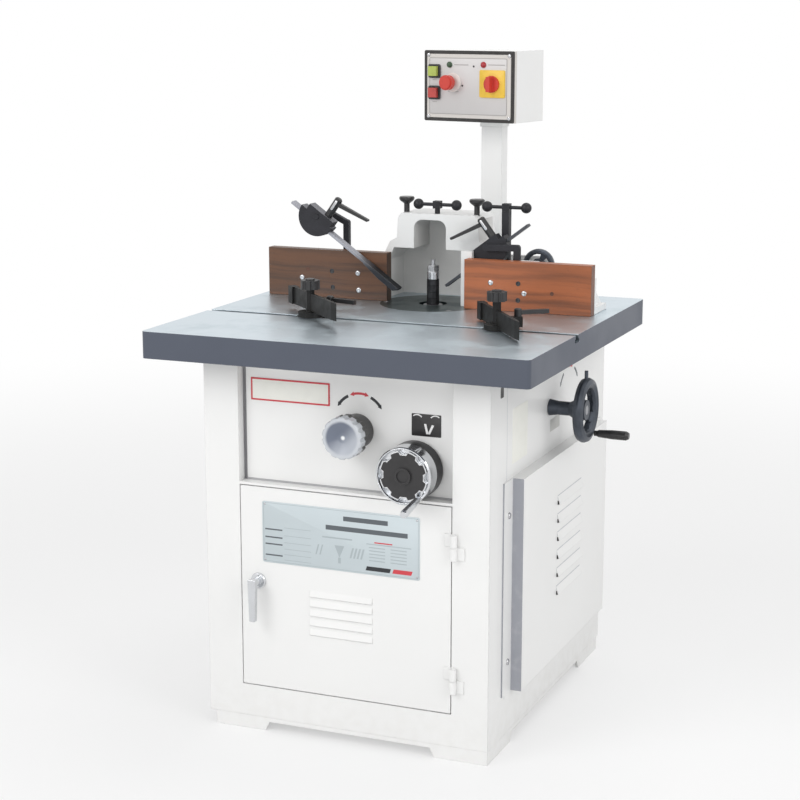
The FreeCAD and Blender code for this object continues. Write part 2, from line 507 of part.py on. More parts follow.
def spindle():
    axis = (0, "spindle_y", 0)
    bore = "quill_r + run_gap"
    body = new_body("quill_housing", axis)
    pad(body, "XY", "housing_low", "plate_low", disc(0, 0, "quill_r + housing_wall"))
    pad(body, "XY", "plate_low - flange_t", "plate_low", disc(0, 0, "flange_r"))
    pad(body, "XY", "housing_low", "housing_low + flange_t", disc(0, 0, "skirt_r"))
    pad(body, "XZ", "-skirt_r - 5", "-quill_r - 5", disc("lock_x", "lock_z", "boss_r - 4"))
    cut(body, "XY", "housing_low", "plate_low", disc(0, 0, bore))
    pad(body, "XY", "bridge_top - 1", "housing_low + 1",
        rect("-leg_half", "leg_half", "-skirt_r + 1", "-skirt_r + 1 + leg_t"),
        rect("-leg_half", "leg_half", "skirt_r - 1 - leg_t", "skirt_r - 1"))
    pad(body, "XY", "bridge_low", "bridge_top", disc(0, 0, "skirt_r"))
    rear = "motor_y - spindle_y + rail_half + rail_w"
    fore = "motor_y - spindle_y - rail_half - rail_w"
    pad(body, "XY", "bridge_low", "bridge_top", rect("-leg_half - 5", "leg_half + 5", 0, rear))
    pad(body, "XY", "bridge_low", "bridge_top", rect(0, "rail_len", rear + " - rail_w", rear))
    pad(body, "XY", "bridge_low", "bridge_top", rect(0, "rail_len", fore, fore + " + rail_w"))
    pad(body, "XY", "bridge_low", "bridge_top",
        [(0, "-skirt_r + 15"), ("front_x - boss_r", "lead_dy - boss_r"),
         ("front_x + boss_r", "lead_dy - boss_r"),
         ("front_x + boss_r", "lead_dy + boss_r"), ("skirt_r - 15", 0)])
    cut(body, "XY", "bridge_low", "bridge_top", disc(0, 0, "pulley_hub_r + run_gap"))
    cut(body, "XY", "bridge_low + 4", "bridge_top", disc("front_x", "lead_dy", "lead_journal_r + run_gap"))
    ear = "lead_dy - 70"
    pad(body, "XY", "housing_low", "housing_low + flange_t",
        [(20, "-skirt_r + 10"), ("front_x - 32", ear + " - boss_len"), ("front_x + 15", ear + " - boss_len"),
         ("front_x + 15", ear), ("front_x - 25", ear), (70, "-skirt_r + 35")])
    pad(body, "XY", "front_z - front_shaft_r - 9", "housing_low + 1",
        rect("front_x - 15", "front_x + 15", ear + " - boss_len", ear))
    cut(body, "XZ", ear + " - boss_len", ear, disc("front_x", "front_z", "front_shaft_r + run_gap"))
    cut(body, "XZ", "-skirt_r - 5", "-quill_r - housing_wall",
        disc("lock_x", "lock_z", "lock_rod_r + run_gap"))

    quill = new_body("quill", axis)
    pad(quill, "XY", "quill_low", "quill_high", disc(0, 0, "quill_r"), disc(0, 0, "quill_r - quill_wall"))
    pad(quill, "XY", "quill_low + 2", "quill_low + 2 + quill_arm_t",
        [("quill_r / 2 - 3.5", "-quill_r + 13"), ("front_x - 17", "lead_dy - 17"),
         ("front_x + 17", "lead_dy - 17"),
         ("front_x + 17", "lead_dy + 17"), ("quill_r - 13", "-quill_r / 2 + 3.5")])
    cut(quill, "XY", "quill_low + 2", "quill_low + 2 + quill_arm_t",
        disc("front_x", "lead_dy", "lead_r + free_gap"))

    seat = "quill_r - quill_wall - run_gap / 2"
    rings = [tube("bearing_low", 0, "spindle_y", "quill_low", "quill_low + bearing_h", seat,
                  "seat_r + run_gap"),
             tube("bearing_high", 0, "spindle_y", "quill_high - bearing_h", "quill_high", seat,
                  "seat_r + run_gap")]
    group("spindle_bearings", rings)

    turned("spindle_shaft", axis, UP,
           [(0, "tail_low"), ("tail_r", "tail_low"), ("tail_r", "quill_low - 2"), ("seat_r", "quill_low - 2"),
            ("seat_r", "quill_high + 2"), ("nose_r", "quill_high + 2"), ("nose_r", "nose_top"),
            ("arbor_r", "nose_top"), ("arbor_r", "nut_top"), ("tip_r", "nut_top"),
            ("tip_r", "nut_top + tip_h"),
            (0, "nut_top + tip_h")])
    step = "(spacer_top - nose_top) / 4"
    group("spacer_rings", [tube("spacer_%s" % word, 0, "spindle_y", "nose_top + %d * %s" % (i, step),
                                "nose_top + %d * %s" % (i + 1, step), "spacer_r", "arbor_r + run_gap")
                           for i, word in enumerate(("low", "second", "third", "high"))])
    nut = new_body("spindle_nut", axis)
    pad(nut, "XY", "spacer_top", "collar_top", disc(0, 0, "spacer_r"))
    corner = "spacer_r"
    pad(nut, "XY", "collar_top - 1", "nut_top",
        [(corner, 0), ("spacer_r / 2", "spacer_r * 0.866"), ("-spacer_r / 2", "spacer_r * 0.866"),
         ("-spacer_r", 0),
         ("-spacer_r / 2", "-spacer_r * 0.866"), ("spacer_r / 2", "-spacer_r * 0.866")])
    cut(nut, "XY", "spacer_top", "nut_top", disc(0, 0, "arbor_r + run_gap"))

    turned("spindle_pulley", axis, UP, pulley("spindle_pulley_r", "tail_r + run_gap") + [
        ("pulley_hub_r", "pulley_top"), ("pulley_hub_r", "bridge_top - 1"),
        ("tail_r + run_gap", "bridge_top - 1")])


def pulley(radius, bore):
    rim = radius + " + pulley_flange"
    low = "pulley_low + pulley_rim"
    high = "pulley_top - pulley_rim"
    return [(bore, "pulley_low"), (rim, "pulley_low"), (rim, low), (radius, low), (radius, high), (rim, high),
            (rim, "pulley_top")]


def drive():
    plate = new_body("motor_plate")
    pad(plate, "XY", "bridge_top", "plate_top",
        rect("plate_left", "plate_right", "motor_y - rail_half - rail_w - 5",
             "motor_y + rail_half + rail_w + 5"))
    cut(plate, "XY", "bridge_top", "plate_top", disc("motor_x", "motor_y", "motor_r / 2"))
    pad(plate, "XY", "bridge_top - 12", "bridge_top + 1",
        rect("plate_left + 70", "plate_right", "motor_y - rail_half + free_gap", "motor_y - rail_half + 8"),
        rect("plate_left", "plate_right", "motor_y + rail_half - 8", "motor_y + rail_half - free_gap"))
    pad(plate, "XY", "bridge_top", "plate_top",
        rect("upright_x - 15", "upright_x + upright_t + 40", "side_y - 18", "motor_y - rail_half - rail_w"))
    pad(plate, "YZ", "upright_x", "upright_x + upright_t",
        rect("side_y - 18", "side_y + 18", "bridge_top", "side_z + 22"))
    cut(plate, "YZ", "upright_x", "upright_x + upright_t",
        disc("side_y", "side_z", "side_screw_r + free_gap"))

    at = ("motor_x", "motor_y", 0)
    motor = turned("motor", at, UP,
                   [("motor_shaft_r + free_gap", "plate_top"), ("motor_r - 10", "plate_top"),
                    ("motor_r - 10", "plate_top + 12"), ("motor_r", "plate_top + 12"),
                    ("motor_r", "plate_top + motor_h - 40"), ("motor_r + 3", "plate_top + motor_h - 40"),
                    ("motor_r + 3", "plate_top + motor_h - 8"), ("motor_r - 5", "plate_top + motor_h"),
                    (0, "plate_top + motor_h"), (0, "plate_top + motor_h - 60"),
                    ("motor_shaft_r + free_gap", "plate_top + motor_h - 60")])
    pad(motor, "XY", "plate_top + 60", "plate_top + 150", rect(-45, 45, "motor_r - 20", "motor_r + 35"))

    turned("motor_rotor", at, UP,
           [(0, "pulley_low")] + pulley("motor_pulley_r", "motor_shaft_r")[1:] + [
               ("motor_shaft_r", "pulley_top"), ("motor_shaft_r", "plate_top + motor_h - 70"),
               (0, "plate_top + motor_h - 70")])

    belt = doc.addObject("Part::Feature", "drive_belt")
    belt.Label = "drive_belt"
    inner = loop_face(num("spindle_pulley_r + free_gap"), num("motor_pulley_r + free_gap"))
    outer = loop_face(num("spindle_pulley_r + free_gap + belt_t"), num("motor_pulley_r + free_gap + belt_t"))
    belt.Shape = outer.cut(inner).extrude(Vector(0, 0, num("belt_w")))
    place(belt, (0, "spindle_y", "(pulley_low + pulley_top - belt_w) / 2"))
    NODES.append(belt)


def loop_face(near, far):
    """The face inside a taut loop round the spindle's and the motor's pulley."""
    across = Vector(num("motor_x"), num("motor_y - spindle_y"), 0)
    along = Vector(across).normalize()
    side = Vector(-along.y, along.x, 0)
    lean = (near - far) / across.Length
    flat = (1 - lean * lean) ** 0.5
    left = along * lean + side * flat
    right = along * lean - side * flat
    edges = [Part.Arc(left * near, along * -near, right * near).toShape(),
             Part.LineSegment(right * near, across + right * far).toShape(),
             Part.Arc(across + right * far, across + along * far, across + left * far).toShape(),
             Part.LineSegment(across + left * far, left * near).toShape()]
    return Part.Face(Part.Wire(edges))


def rise():
    cone = "bevel_r - bevel_face"
    top = "front_z - (%s) - bevel_gap" % cone
    turned("lead_screw", ("front_x", "lead_y", 0), UP,
           [(0, "bridge_low + 6"), ("lead_journal_r", "bridge_low + 6"),
            ("lead_journal_r", "bridge_top + loose"),
            ("lead_r", "bridge_top + loose"), ("lead_r", top + " - bevel_face - 8"),
            ("bevel_r", top + " - bevel_face - 8"), ("bevel_r", top + " - bevel_face"), (cone, top),
            (0, top)])
    tip = "-lead_y + (%s) + bevel_gap" % cone
    turned("front_shaft", ("front_x", 0, "front_z"), FRONT,
           [(0, tip), (cone, tip), ("bevel_r", tip + " + bevel_face"), ("bevel_r", tip + " + bevel_face + 8"),
            ("front_shaft_r", tip + " + bevel_face + 8"),
            ("front_shaft_r", "-recess_face + front_wheel_deep - 12"),
            (0, "-recess_face + front_wheel_deep - 12")])

    at = ("front_x", "recess_face", "front_z")
    rim = "front_wheel_r"
    deep = "front_wheel_deep"
    wall = "front_wheel_r - front_wheel_wall"
    hub = "front_shaft_r + 12"
    face = "front_wheel_deep - lock_wheel_t - 3"
    turned("front_wheel", at, FRONT,
           [("front_shaft_r + run_gap / 2", "front_wheel_back"), (hub, "front_wheel_back"),
            (hub, face + " - 5"),
            (wall, face + " - 5"), (wall, "front_wheel_back"), ("front_wheel_r - 1", "front_wheel_back"),
            (rim, "front_wheel_back + 1"), (rim, deep + " - 3"), (rim + " - 2", deep), (wall, deep),
            (wall + " - 1", deep + " - 3"), (wall + " - 1", face), ("front_shaft_r + run_gap / 2", face)])
    knob = new_body("wheel_lock_knob", at, FRONT)
    low = "front_wheel_deep - lock_wheel_t - 2"
    pad(knob, "XY", low, deep + " - 2", disc(0, 0, "lock_wheel_r"))
    pad(knob, "XY", deep + " - 3", deep + " + 3", disc(0, 0, "lock_wheel_r / 3"))
    cut(knob, "XY", deep, deep + " + 3", disc(0, 0, "lock_wheel_r / 4"))
    cut(knob, "XY", low, "front_wheel_deep - 11", disc(0, 0, "front_shaft_r + run_gap"))
    bite = cut(knob, "XY", low, deep + " - 2", disc("lock_wheel_r + 5", 0, "lock_wheel_r / 4"))
    around(knob, bite, 8)
    turned("front_handle", ("front_x + crank_x", "recess_face - front_wheel_deep", "front_z + crank_z"),
           Rotation(Vector(1, 0, 0), 90 + num("crank_tilt")),
           [(0, "crank_lift"), ("crank_base", "crank_lift"), ("crank_base", 6), ("crank_base + 2", 10),
            ("crank_tip", "crank_len - 6"), ("crank_tip - 2", "crank_len"), (0, "crank_len")])

    at = ("lock_x", "recess_face", "lock_z")
    star = turned("lock_knob", at, FRONT,
                  [(0, "-(spindle_y - skirt_r + 15 - recess_face)"),
                   ("lock_rod_r", "-(spindle_y - skirt_r + 15 - recess_face)"),
                   ("lock_rod_r", "loose"), ("lock_base_r", "loose"), ("lock_base_r", "lock_base_len"),
                   ("star_r", "lock_base_len"), ("star_r", "lock_base_len + star_len - 3"),
                   ("star_r - 3", "lock_base_len + star_len"), ("star_r - 8", "lock_base_len + star_len"),
                   ("star_r / 4", "lock_base_len + star_len - star_dish"),
                   (0, "lock_base_len + star_len - star_dish")])
    bite = cut(star, "XY", "lock_base_len", "lock_base_len + star_len", disc("star_r + 2.5", 0, "star_r / 8"))
    around(star, bite, "star_count")


def tension():
    at = ("cab_half", "side_y", "side_z")
    reach = "side_reach"
    rim = "side_rim_r"
    back = "side_reach - side_rim_w"
    body = turned("side_wheel", at, RIGHT,
                  [("side_screw_r + run_gap / 2", "loose"), ("side_screw_r + 8", "loose"),
                   ("side_screw_r + 5", 20),
                   ("side_screw_r + 5", "side_hub - 38"), ("side_screw_r + 13", "side_hub - 22"),
                   (rim + " - 24", back + " + 2"),
                   (rim + " - 12", back), (rim + " - 3", back + " + 3"), (rim, back + " + 10"),
                   (rim, reach + " - 10"), (rim + " - 3", reach + " - 3"), (rim + " - 12", reach),
                   (rim + " - 21", reach + " - 4"), (rim + " - 25", back + " + 11"),
                   ("side_screw_r + 12", "side_hub - 9"), ("side_screw_r + 12", "side_hub"),
                   ("side_screw_r + run_gap / 2", "side_hub")])
    pad(body, "YZ", "-side_rim_r - 16", "-side_rim_r + 4", disc(0, "side_reach - side_rim_w / 2", 4))
    window = cut(body, "XY", "side_hub - 34", reach, sector("side_screw_r + 16", rim + " - 23", 46))
    around(body, window, 3)
    turned("tension_screw", at, RIGHT,
           [(0, "-(cab_half - upright_x + 20)"), ("side_screw_r", "-(cab_half - upright_x + 20)"),
            ("side_screw_r", "side_hub"), (0, "side_hub")])
    grip = "side_crank_r"
    length = "side_crank_len"
    turned("side_handle", ("cab_half + side_reach", "side_y + side_crank_y", "side_z + side_crank_z"), RIGHT,
           [(0, 0), (grip + " - 4", 0), (grip + " - 4", 6), (grip + " - 2", 10), (grip, 40),
            (grip, length + " - 6"),
            (grip + " - 3", length), (0, length)])


def controls():
    post = new_body("control_post", ("post_x", "post_y", 0))
    outer = rect("-post_w / 2", "post_w / 2", "-post_d / 2", "post_d / 2")
    pad(post, "XY", "cab_top", "post_top", outer,
        rect("-post_w / 2 + post_wall", "post_w / 2 - post_wall", "-post_d / 2 + post_wall",
             "post_d / 2 - post_wall"))
    pad(post, "XY", "cab_top", "cab_top + 6",
        rect("-post_w / 2 - 16", "post_w / 2 + 16", "-post_d / 2", "post_d / 2"))
    pad(post, "XY", "post_top - 4", "post_top + 6",
        rect("-post_w / 2 - 3", "post_w / 2 + 3", "-post_d / 2 - 3", "post_d / 2 + 3"))
    pad(post, "XY", "post_top + 5", "box_low + box_floor + 14", disc(0, 0, "pivot_r"))

    turn = Rotation(Vector(0, 0, 1), num("box_turn"))
    at = ("post_x", "post_y", 0)
    box = new_body("control_box", at, turn)
    pad(box, "XY", "box_low", "box_top", rect("box_left", "box_right", "panel_back", "box_rear"))
    cut(box, "XZ", "panel_back", "box_rear - box_wall",
        rect("box_left + box_wall", "box_right - box_wall", "box_low + box_floor", "box_top - box_wall"))
    cut(box, "XY", "box_low", "box_low + box_floor", disc(0, 0, "pivot_r + run_gap"))
    panel = new_body("control_panel", at, turn)
    pad(panel, "XZ", "box_front + cover_step", "panel_back",
        rect("box_left", "box_right", "box_low", "box_top"))
    pad(panel, "XZ", "box_front", "box_front + cover_step",
        rect("box_left + cover_inset", "box_right - cover_inset", "box_low + cover_inset",
             "box_top - cover_inset"))
    cut(panel, "XZ", "box_front", "panel_back", disc("button_x", "start_z", "button_stem_r + free_gap"),
        disc("button_x", "stop_z", "button_stem_r + free_gap"),
        disc("mushroom_x", "mushroom_z", "mushroom_stem_r + free_gap"),
        disc("switch_x", "switch_z", "switch_stem_r + free_gap"))
    for label, height in (("start_button", "start_z"), ("stop_button", "stop_z")):
        button = new_body(label, at, turn)
        pad(button, "XZ", "box_front - button_out", "panel_back + 6",
            disc("button_x", height, "button_stem_r"))
        pad(button, "XZ", "box_front - button_out - button_t", "box_front - button_out",
            rect("button_x - button / 2", "button_x + button / 2", height + " - button / 2",
                 height + " + button / 2"))
    knob = new_body("emergency_knob", at, turn)
    pad(knob, "XZ", "box_front - 14", "panel_back + 6", disc("mushroom_x", "mushroom_z", "mushroom_stem_r"))
    pad(knob, "XZ", "box_front - 28", "box_front - 14", disc("mushroom_x", "mushroom_z", "mushroom_r"))
    pad(knob, "XZ", "box_front - 31", "box_front - 28", disc("mushroom_x", "mushroom_z", "mushroom_r - 3"))
    switch = new_body("main_switch", at, turn)
    pad(switch, "XZ", "box_front - free_gap", "panel_back + 6", disc("switch_x", "switch_z", "switch_stem_r"))
    pad(switch, "XZ", "box_front - 9", "box_front - free_gap", disc("switch_x", "switch_z", "switch_r"))
    pad(switch, "XZ", "box_front - 24", "box_front - 8",
        rect("switch_x - 5", "switch_x + 5", "switch_z - switch_r + 2", "switch_z + switch_r - 2"))


def hood():
    body = new_body("fence_hood")
    pad(body, "XZ", "hood_front", "hood_back",
        [("-hood_half", "table_top"), ("hood_half", "table_top"), ("hood_half", "hood_side_top"),
         ("hood_half - 17", "hood_shoulder"), ("hood_right + 3", "hood_shoulder + 9"),
         ("hood_right", "hood_top - 10"),
         ("hood_right - 8", "hood_top"), ("hood_left + 8", "hood_top"), ("hood_left", "hood_top - 10"),
         ("hood_left - 3", "hood_shoulder + 9"), ("-hood_half + 17", "hood_shoulder"),
         ("-hood_half", "hood_side_top")])
    inner = "hood_half - hood_wall"
    cut(body, "XZ", "hood_front", "hood_back - hood_wall",
        [("-(%s)" % inner, "table_top"), (inner, "table_top"), (inner, "hood_side_top - 10"),
         (inner + " - 15", "hood_roof"), ("-(%s) + 15" % inner, "hood_roof"),
         ("-(%s)" % inner, "hood_side_top - 10")])
    through = ("hood_front", "hood_back - hood_wall")
    cut(body, "XZ", *through,
        rect("arch_x - arch_half", "arch_x + arch_half", "hood_roof - 1", "arch_top - arch_corner"))
    bend = "arch_half - arch_corner"
    cut(body, "XZ", *through,
        rect("arch_x - (%s)" % bend, "arch_x + (%s)" % bend, "arch_top - arch_corner - 1", "arch_top"))
    for spot in ("arch_x - (%s)" % bend, "arch_x + (%s)" % bend):
        cut(body, "XZ", *through, disc(spot, "arch_top - arch_corner", "arch_corner"))
    pad(body, "XZ", "arm_back - hood_wall", "arm_back",
        rect("hood_half - 5", "arm_right", "arm_low", "arm_high"))
    cut(body, "XZ", "arm_back - hood_wall", "arm_back",
        disc("micro_x", "micro_z", "micro_screw_r + free_gap"))
    cut(body, "XY", "hood_top - clamp_deep - 2", "hood_top",
        disc("clamp_left_x", "clamp_y", "clamp_stem_r + run_gap"),
        disc("clamp_right_x", "clamp_y", "clamp_stem_r + run_gap"),
        disc("tommy_x", "tommy_y", "tommy_stem_r + run_gap"))

    for label, x in (("clamp_knob_left", "clamp_left_x"), ("clamp_knob_right", "clamp_right_x")):
        turned(label, (x, "clamp_y", "hood_top"), UP,
               [(0, "-clamp_deep"), ("clamp_stem_r", "-clamp_deep"),
                ("clamp_stem_r", "clamp_h - clamp_t - 4"),
                ("clamp_r - 3", "clamp_h - clamp_t + 2"), ("clamp_r", "clamp_h - clamp_t + 6"),
                ("clamp_r", "clamp_h - 2"), ("clamp_r - 2", "clamp_h"), (0, "clamp_h")])
    tommy = new_body("hood_screw", ("tommy_x", "tommy_y", "hood_top"))
    pad(tommy, "XY", "-clamp_deep", "tommy_stem", disc(0, 0, "tommy_stem_r"))
    tee(tommy, "tommy_stem")
    tall = new_body("post_screw", ("post_screw_x", "post_screw_y", 0))
    pad(tall, "XY", "post_screw_top - post_screw_deep", "post_screw_top + free_gap",
        disc(0, 0, "tommy_stem_r"))
    tee(tall, "post_screw_top + free_gap")


def tee(body, low):
    """A block with a cross bar and a ball at each end, standing on the given height."""
    middle = low + " + tommy_block / 2"
    pad(body, "XY", low, low + " + tommy_block",
        rect("-tommy_block / 2", "tommy_block / 2", "-tommy_block / 2", "tommy_block / 2"))
    pad(body, "YZ", "-tommy_half", "tommy_half", disc(0, middle, "tommy_r"))
    ball(body, "-tommy_half", 0, middle, "tommy_ball_r")
    ball(body, "tommy_half", 0, middle, "tommy_ball_r")


def fence():
    low = "table_top + loose"
    left = new_body("left_board")
    pad(left, "XY", low, low + " + board_h",
        rect("left_board_left", "left_board_right", "left_face", "left_back"))
    right = new_body("right_board")
    pad(right, "XY", low, low + " + board_h",
        rect("right_board_left", "right_board_right", "right_face", "right_back"))

    carrier = new_body("left_carrier")
    west = "left_board_left + 5"
    pad(carrier, "XZ", "left_back", "left_plate_back",
        rect(west, "-hood_half", "table_top", "left_carrier_top"))
    pad(carrier, "XY", "table_top", "foot_top",
        rect(west, "-hood_half", "left_plate_back - 1", "left_plate_back + carrier_foot"))
    rib = [("left_plate_back - 1", "foot_top - 1"), ("left_plate_back + carrier_foot - 10", "foot_top - 1"),
           ("left_plate_back - 1", "left_carrier_top - 15")]
    pad(carrier, "YZ", west + " + 8", west + " + 8 + rib_t", rib)
    pad(carrier, "YZ", "-hood_half - 40", "-hood_half - 40 + rib_t", rib)

    mover = new_body("right_carrier")
    pad(mover, "XZ", "right_back", "right_plate_back",
        [("right_carrier_left", low), ("right_board_right", low), ("right_board_right", "right_carrier_low"),
         ("micro_x + ear_half", "right_carrier_low"), ("micro_x + ear_half", "micro_z + 17"),
         ("micro_x - ear_half", "micro_z + 17"), ("micro_x - ear_half", "right_carrier_low"),
         ("right_carrier_left + 26", "right_carrier_low"), ("right_carrier_left + 26", "right_carrier_top"),
         ("right_carrier_left", "right_carrier_top")])
    pad(mover, "XY", low, "foot_top",
        rect("right_foot_left", "right_board_right", "right_plate_back - 1",
             "right_plate_back + carrier_foot"))
    rib = [("right_plate_back - 1", "foot_top - 1"), ("right_plate_back + carrier_foot - 10", "foot_top - 1"),
           ("right_plate_back - 1", "right_carrier_low - 15")]
    pad(mover, "YZ", "right_board_right - 8 - rib_t", "right_board_right - 8", rib)
    cut(mover, "XZ", "right_back + 2", "right_plate_back",
        disc("micro_x", "micro_z", "micro_screw_r + run_gap"))

    wheel = "micro_y - right_plate_back"
    end = "arm_back - right_plate_back + 20"
    dial = turned("micro_wheel", ("micro_x", "right_plate_back", "micro_z"), Rotation(Vector(1, 0, 0), -90),
           [(0, -9), ("micro_screw_r", -9), ("micro_screw_r", wheel), (14, wheel), (14, wheel + " + 4"),
            ("micro_r - 10", wheel + " + 4"), ("micro_r - 8", wheel), ("micro_r - 3", wheel),
            ("micro_r", wheel + " + 4"),
            ("micro_r", wheel + " + micro_w - 4"), ("micro_r - 3", wheel + " + micro_w"),
            ("micro_r - 8", wheel + " + micro_w"), ("micro_r - 10", wheel + " + 9"), (12, wheel + " + 9"),
            (12, wheel + " + micro_w + 6"), ("micro_screw_r", wheel + " + micro_w + 6"),
            ("micro_screw_r", end), (0, end)])
    window = cut(dial, "XY", wheel + " + 2", wheel + " + micro_w", sector("16", "micro_r - 11", 42))
    around(dial, window, 3)


def hold_down(side, turn, stud, back, fore):
    """One hold-down: the holder tilts on a pin along Y, the bar slides through it, the lever clamps."""
    at = (side + "_x", side + "_y", side + "_z")
    holder = new_body(side + "_holder", at, turn)
    deep = ("-holder_half", "holder_half")
    pad(holder, "XZ", *deep, disc(0, 0, "half_disc_r"))
    cut(holder, "XZ", *deep, rect("-half_disc_r - 1", "half_disc_r + 1", 0, "half_disc_r + 1"))
    pad(holder, "XZ", *deep, rect("-cap_back", "cap_fore", -4, "cap_h"))
    cut(holder, "YZ", "-half_disc_r", "half_disc_r",
        rect("-bar_w / 2 - free_gap", "bar_w / 2 + free_gap", "-bar_down - bar_t / 2 - free_gap",
             "-bar_down + bar_t / 2 + free_gap"))
    cut(holder, "XZ", *deep, disc(0, 0, "pin_r + run_gap"))
    cut(holder, "XY", "cap_h - 10", "cap_h", disc(stud, 0, "lever_stud_r + run_gap"))

    bar = new_body(side + "_bar", at, turn)
    pad(bar, "XZ", "-bar_w / 2", "bar_w / 2",
        rect("-" + back, fore, "-bar_down - bar_t / 2", "-bar_down + bar_t / 2"))
    if side == "left":
        pad(bar, "XZ", "-shoe_half", "shoe_half",
            [(fore + " - shoe_len", "-bar_down + bar_t / 2"), (fore + " - shoe_len", "-bar_down - bar_t / 2"),
             (fore + " - shoe_len / 2", "-bar_down + bar_t / 2 - shoe_t"),
             (fore + " - 8", "-bar_down + bar_t / 2 - shoe_t"),
             (fore, "-bar_down - 2"), (fore, "-bar_down + bar_t / 2")])

    lever = turned(side + "_lever", at_on(at, turn, stud), turn,
                   [(0, -8), ("lever_stud_r", -8), ("lever_stud_r", "free_gap"), ("lever_hub_r", "free_gap"),
                    ("lever_hub_r", "lever_hub_h - 3"), ("lever_hub_r - 3", "lever_hub_h"),
                    (0, "lever_hub_h")])
    mid = "lever_hub_h - lever_drop"
    pad(lever, "XZ", "-lever_rod_r", "lever_rod_r",
        [(0, mid + " - lever_rod_r"), ("lever_reach", mid + " + lever_rise - lever_rod_r + 2"),
         ("lever_reach + 2", mid + " + lever_rise"), ("lever_reach", mid + " + lever_rise + lever_rod_r - 2"),
         (0, mid + " + lever_rod_r")])

    post = new_body(side + "_post")
    if side == "left":
        front, rear = "left_plate_back", "left_plate_back + down_post_t"
        stand, pin_low, pin_high = "foot_top", "left_y - holder_half - 2", "left_plate_back + 1"
    else:
        front, rear = "right_plate_back - down_post_t", "right_plate_back - free_gap"
        stand, pin_low, pin_high = "right_carrier_low", "right_plate_back - 1", "right_y + holder_half + 2"
    spot = side + "_post_x"
    top = side + "_post_top"
    half = "down_post_w / 2"
    pad(post, "XZ", front, rear, rect(spot + " - " + half, spot + " + " + half, stand, top + " - " + half))
    pad(post, "XZ", front, rear, disc(spot, top + " - " + half, half))
    pad(post, "XZ", front, rear,
        [(spot, top + " - down_post_w"), (spot, top), (side + "_x", side + "_z + " + half),
         (side + "_x", side + "_z - " + half)])
    pad(post, "XZ", front, rear, disc(side + "_x", side + "_z", half + " + 1"))
    pad(post, "XZ", pin_low, pin_high, disc(side + "_x", side + "_z", "pin_r"))
    if side == "right":
        post.AllowCompound = True
        half = "post_screw_w / 2"
        pad(post, "XY", "foot_top", "post_screw_top",
            rect("post_screw_x - " + half, "post_screw_x + " + half, "post_screw_y - " + half,
                 "post_screw_y + " + half))
        cut(post, "XY", "post_screw_top - post_screw_deep - 2", "post_screw_top",
            disc("post_screw_x", "post_screw_y", "tommy_stem_r + run_gap"))


def at_on(at, turn, along):
    """The point on a tilted holder's cap, written with the tilt's sine and cosine."""
    ahead = turn.multVec(Vector(1, 0, 0))
    above = turn.multVec(Vector(0, 0, 1))
    return ("%s + %.9f * (%s) + %.9f * cap_h" % (at[0], ahead.x, along, above.x), at[1],
            "%s + %.9f * (%s) + %.9f * cap_h" % (at[2], ahead.z, along, above.z))


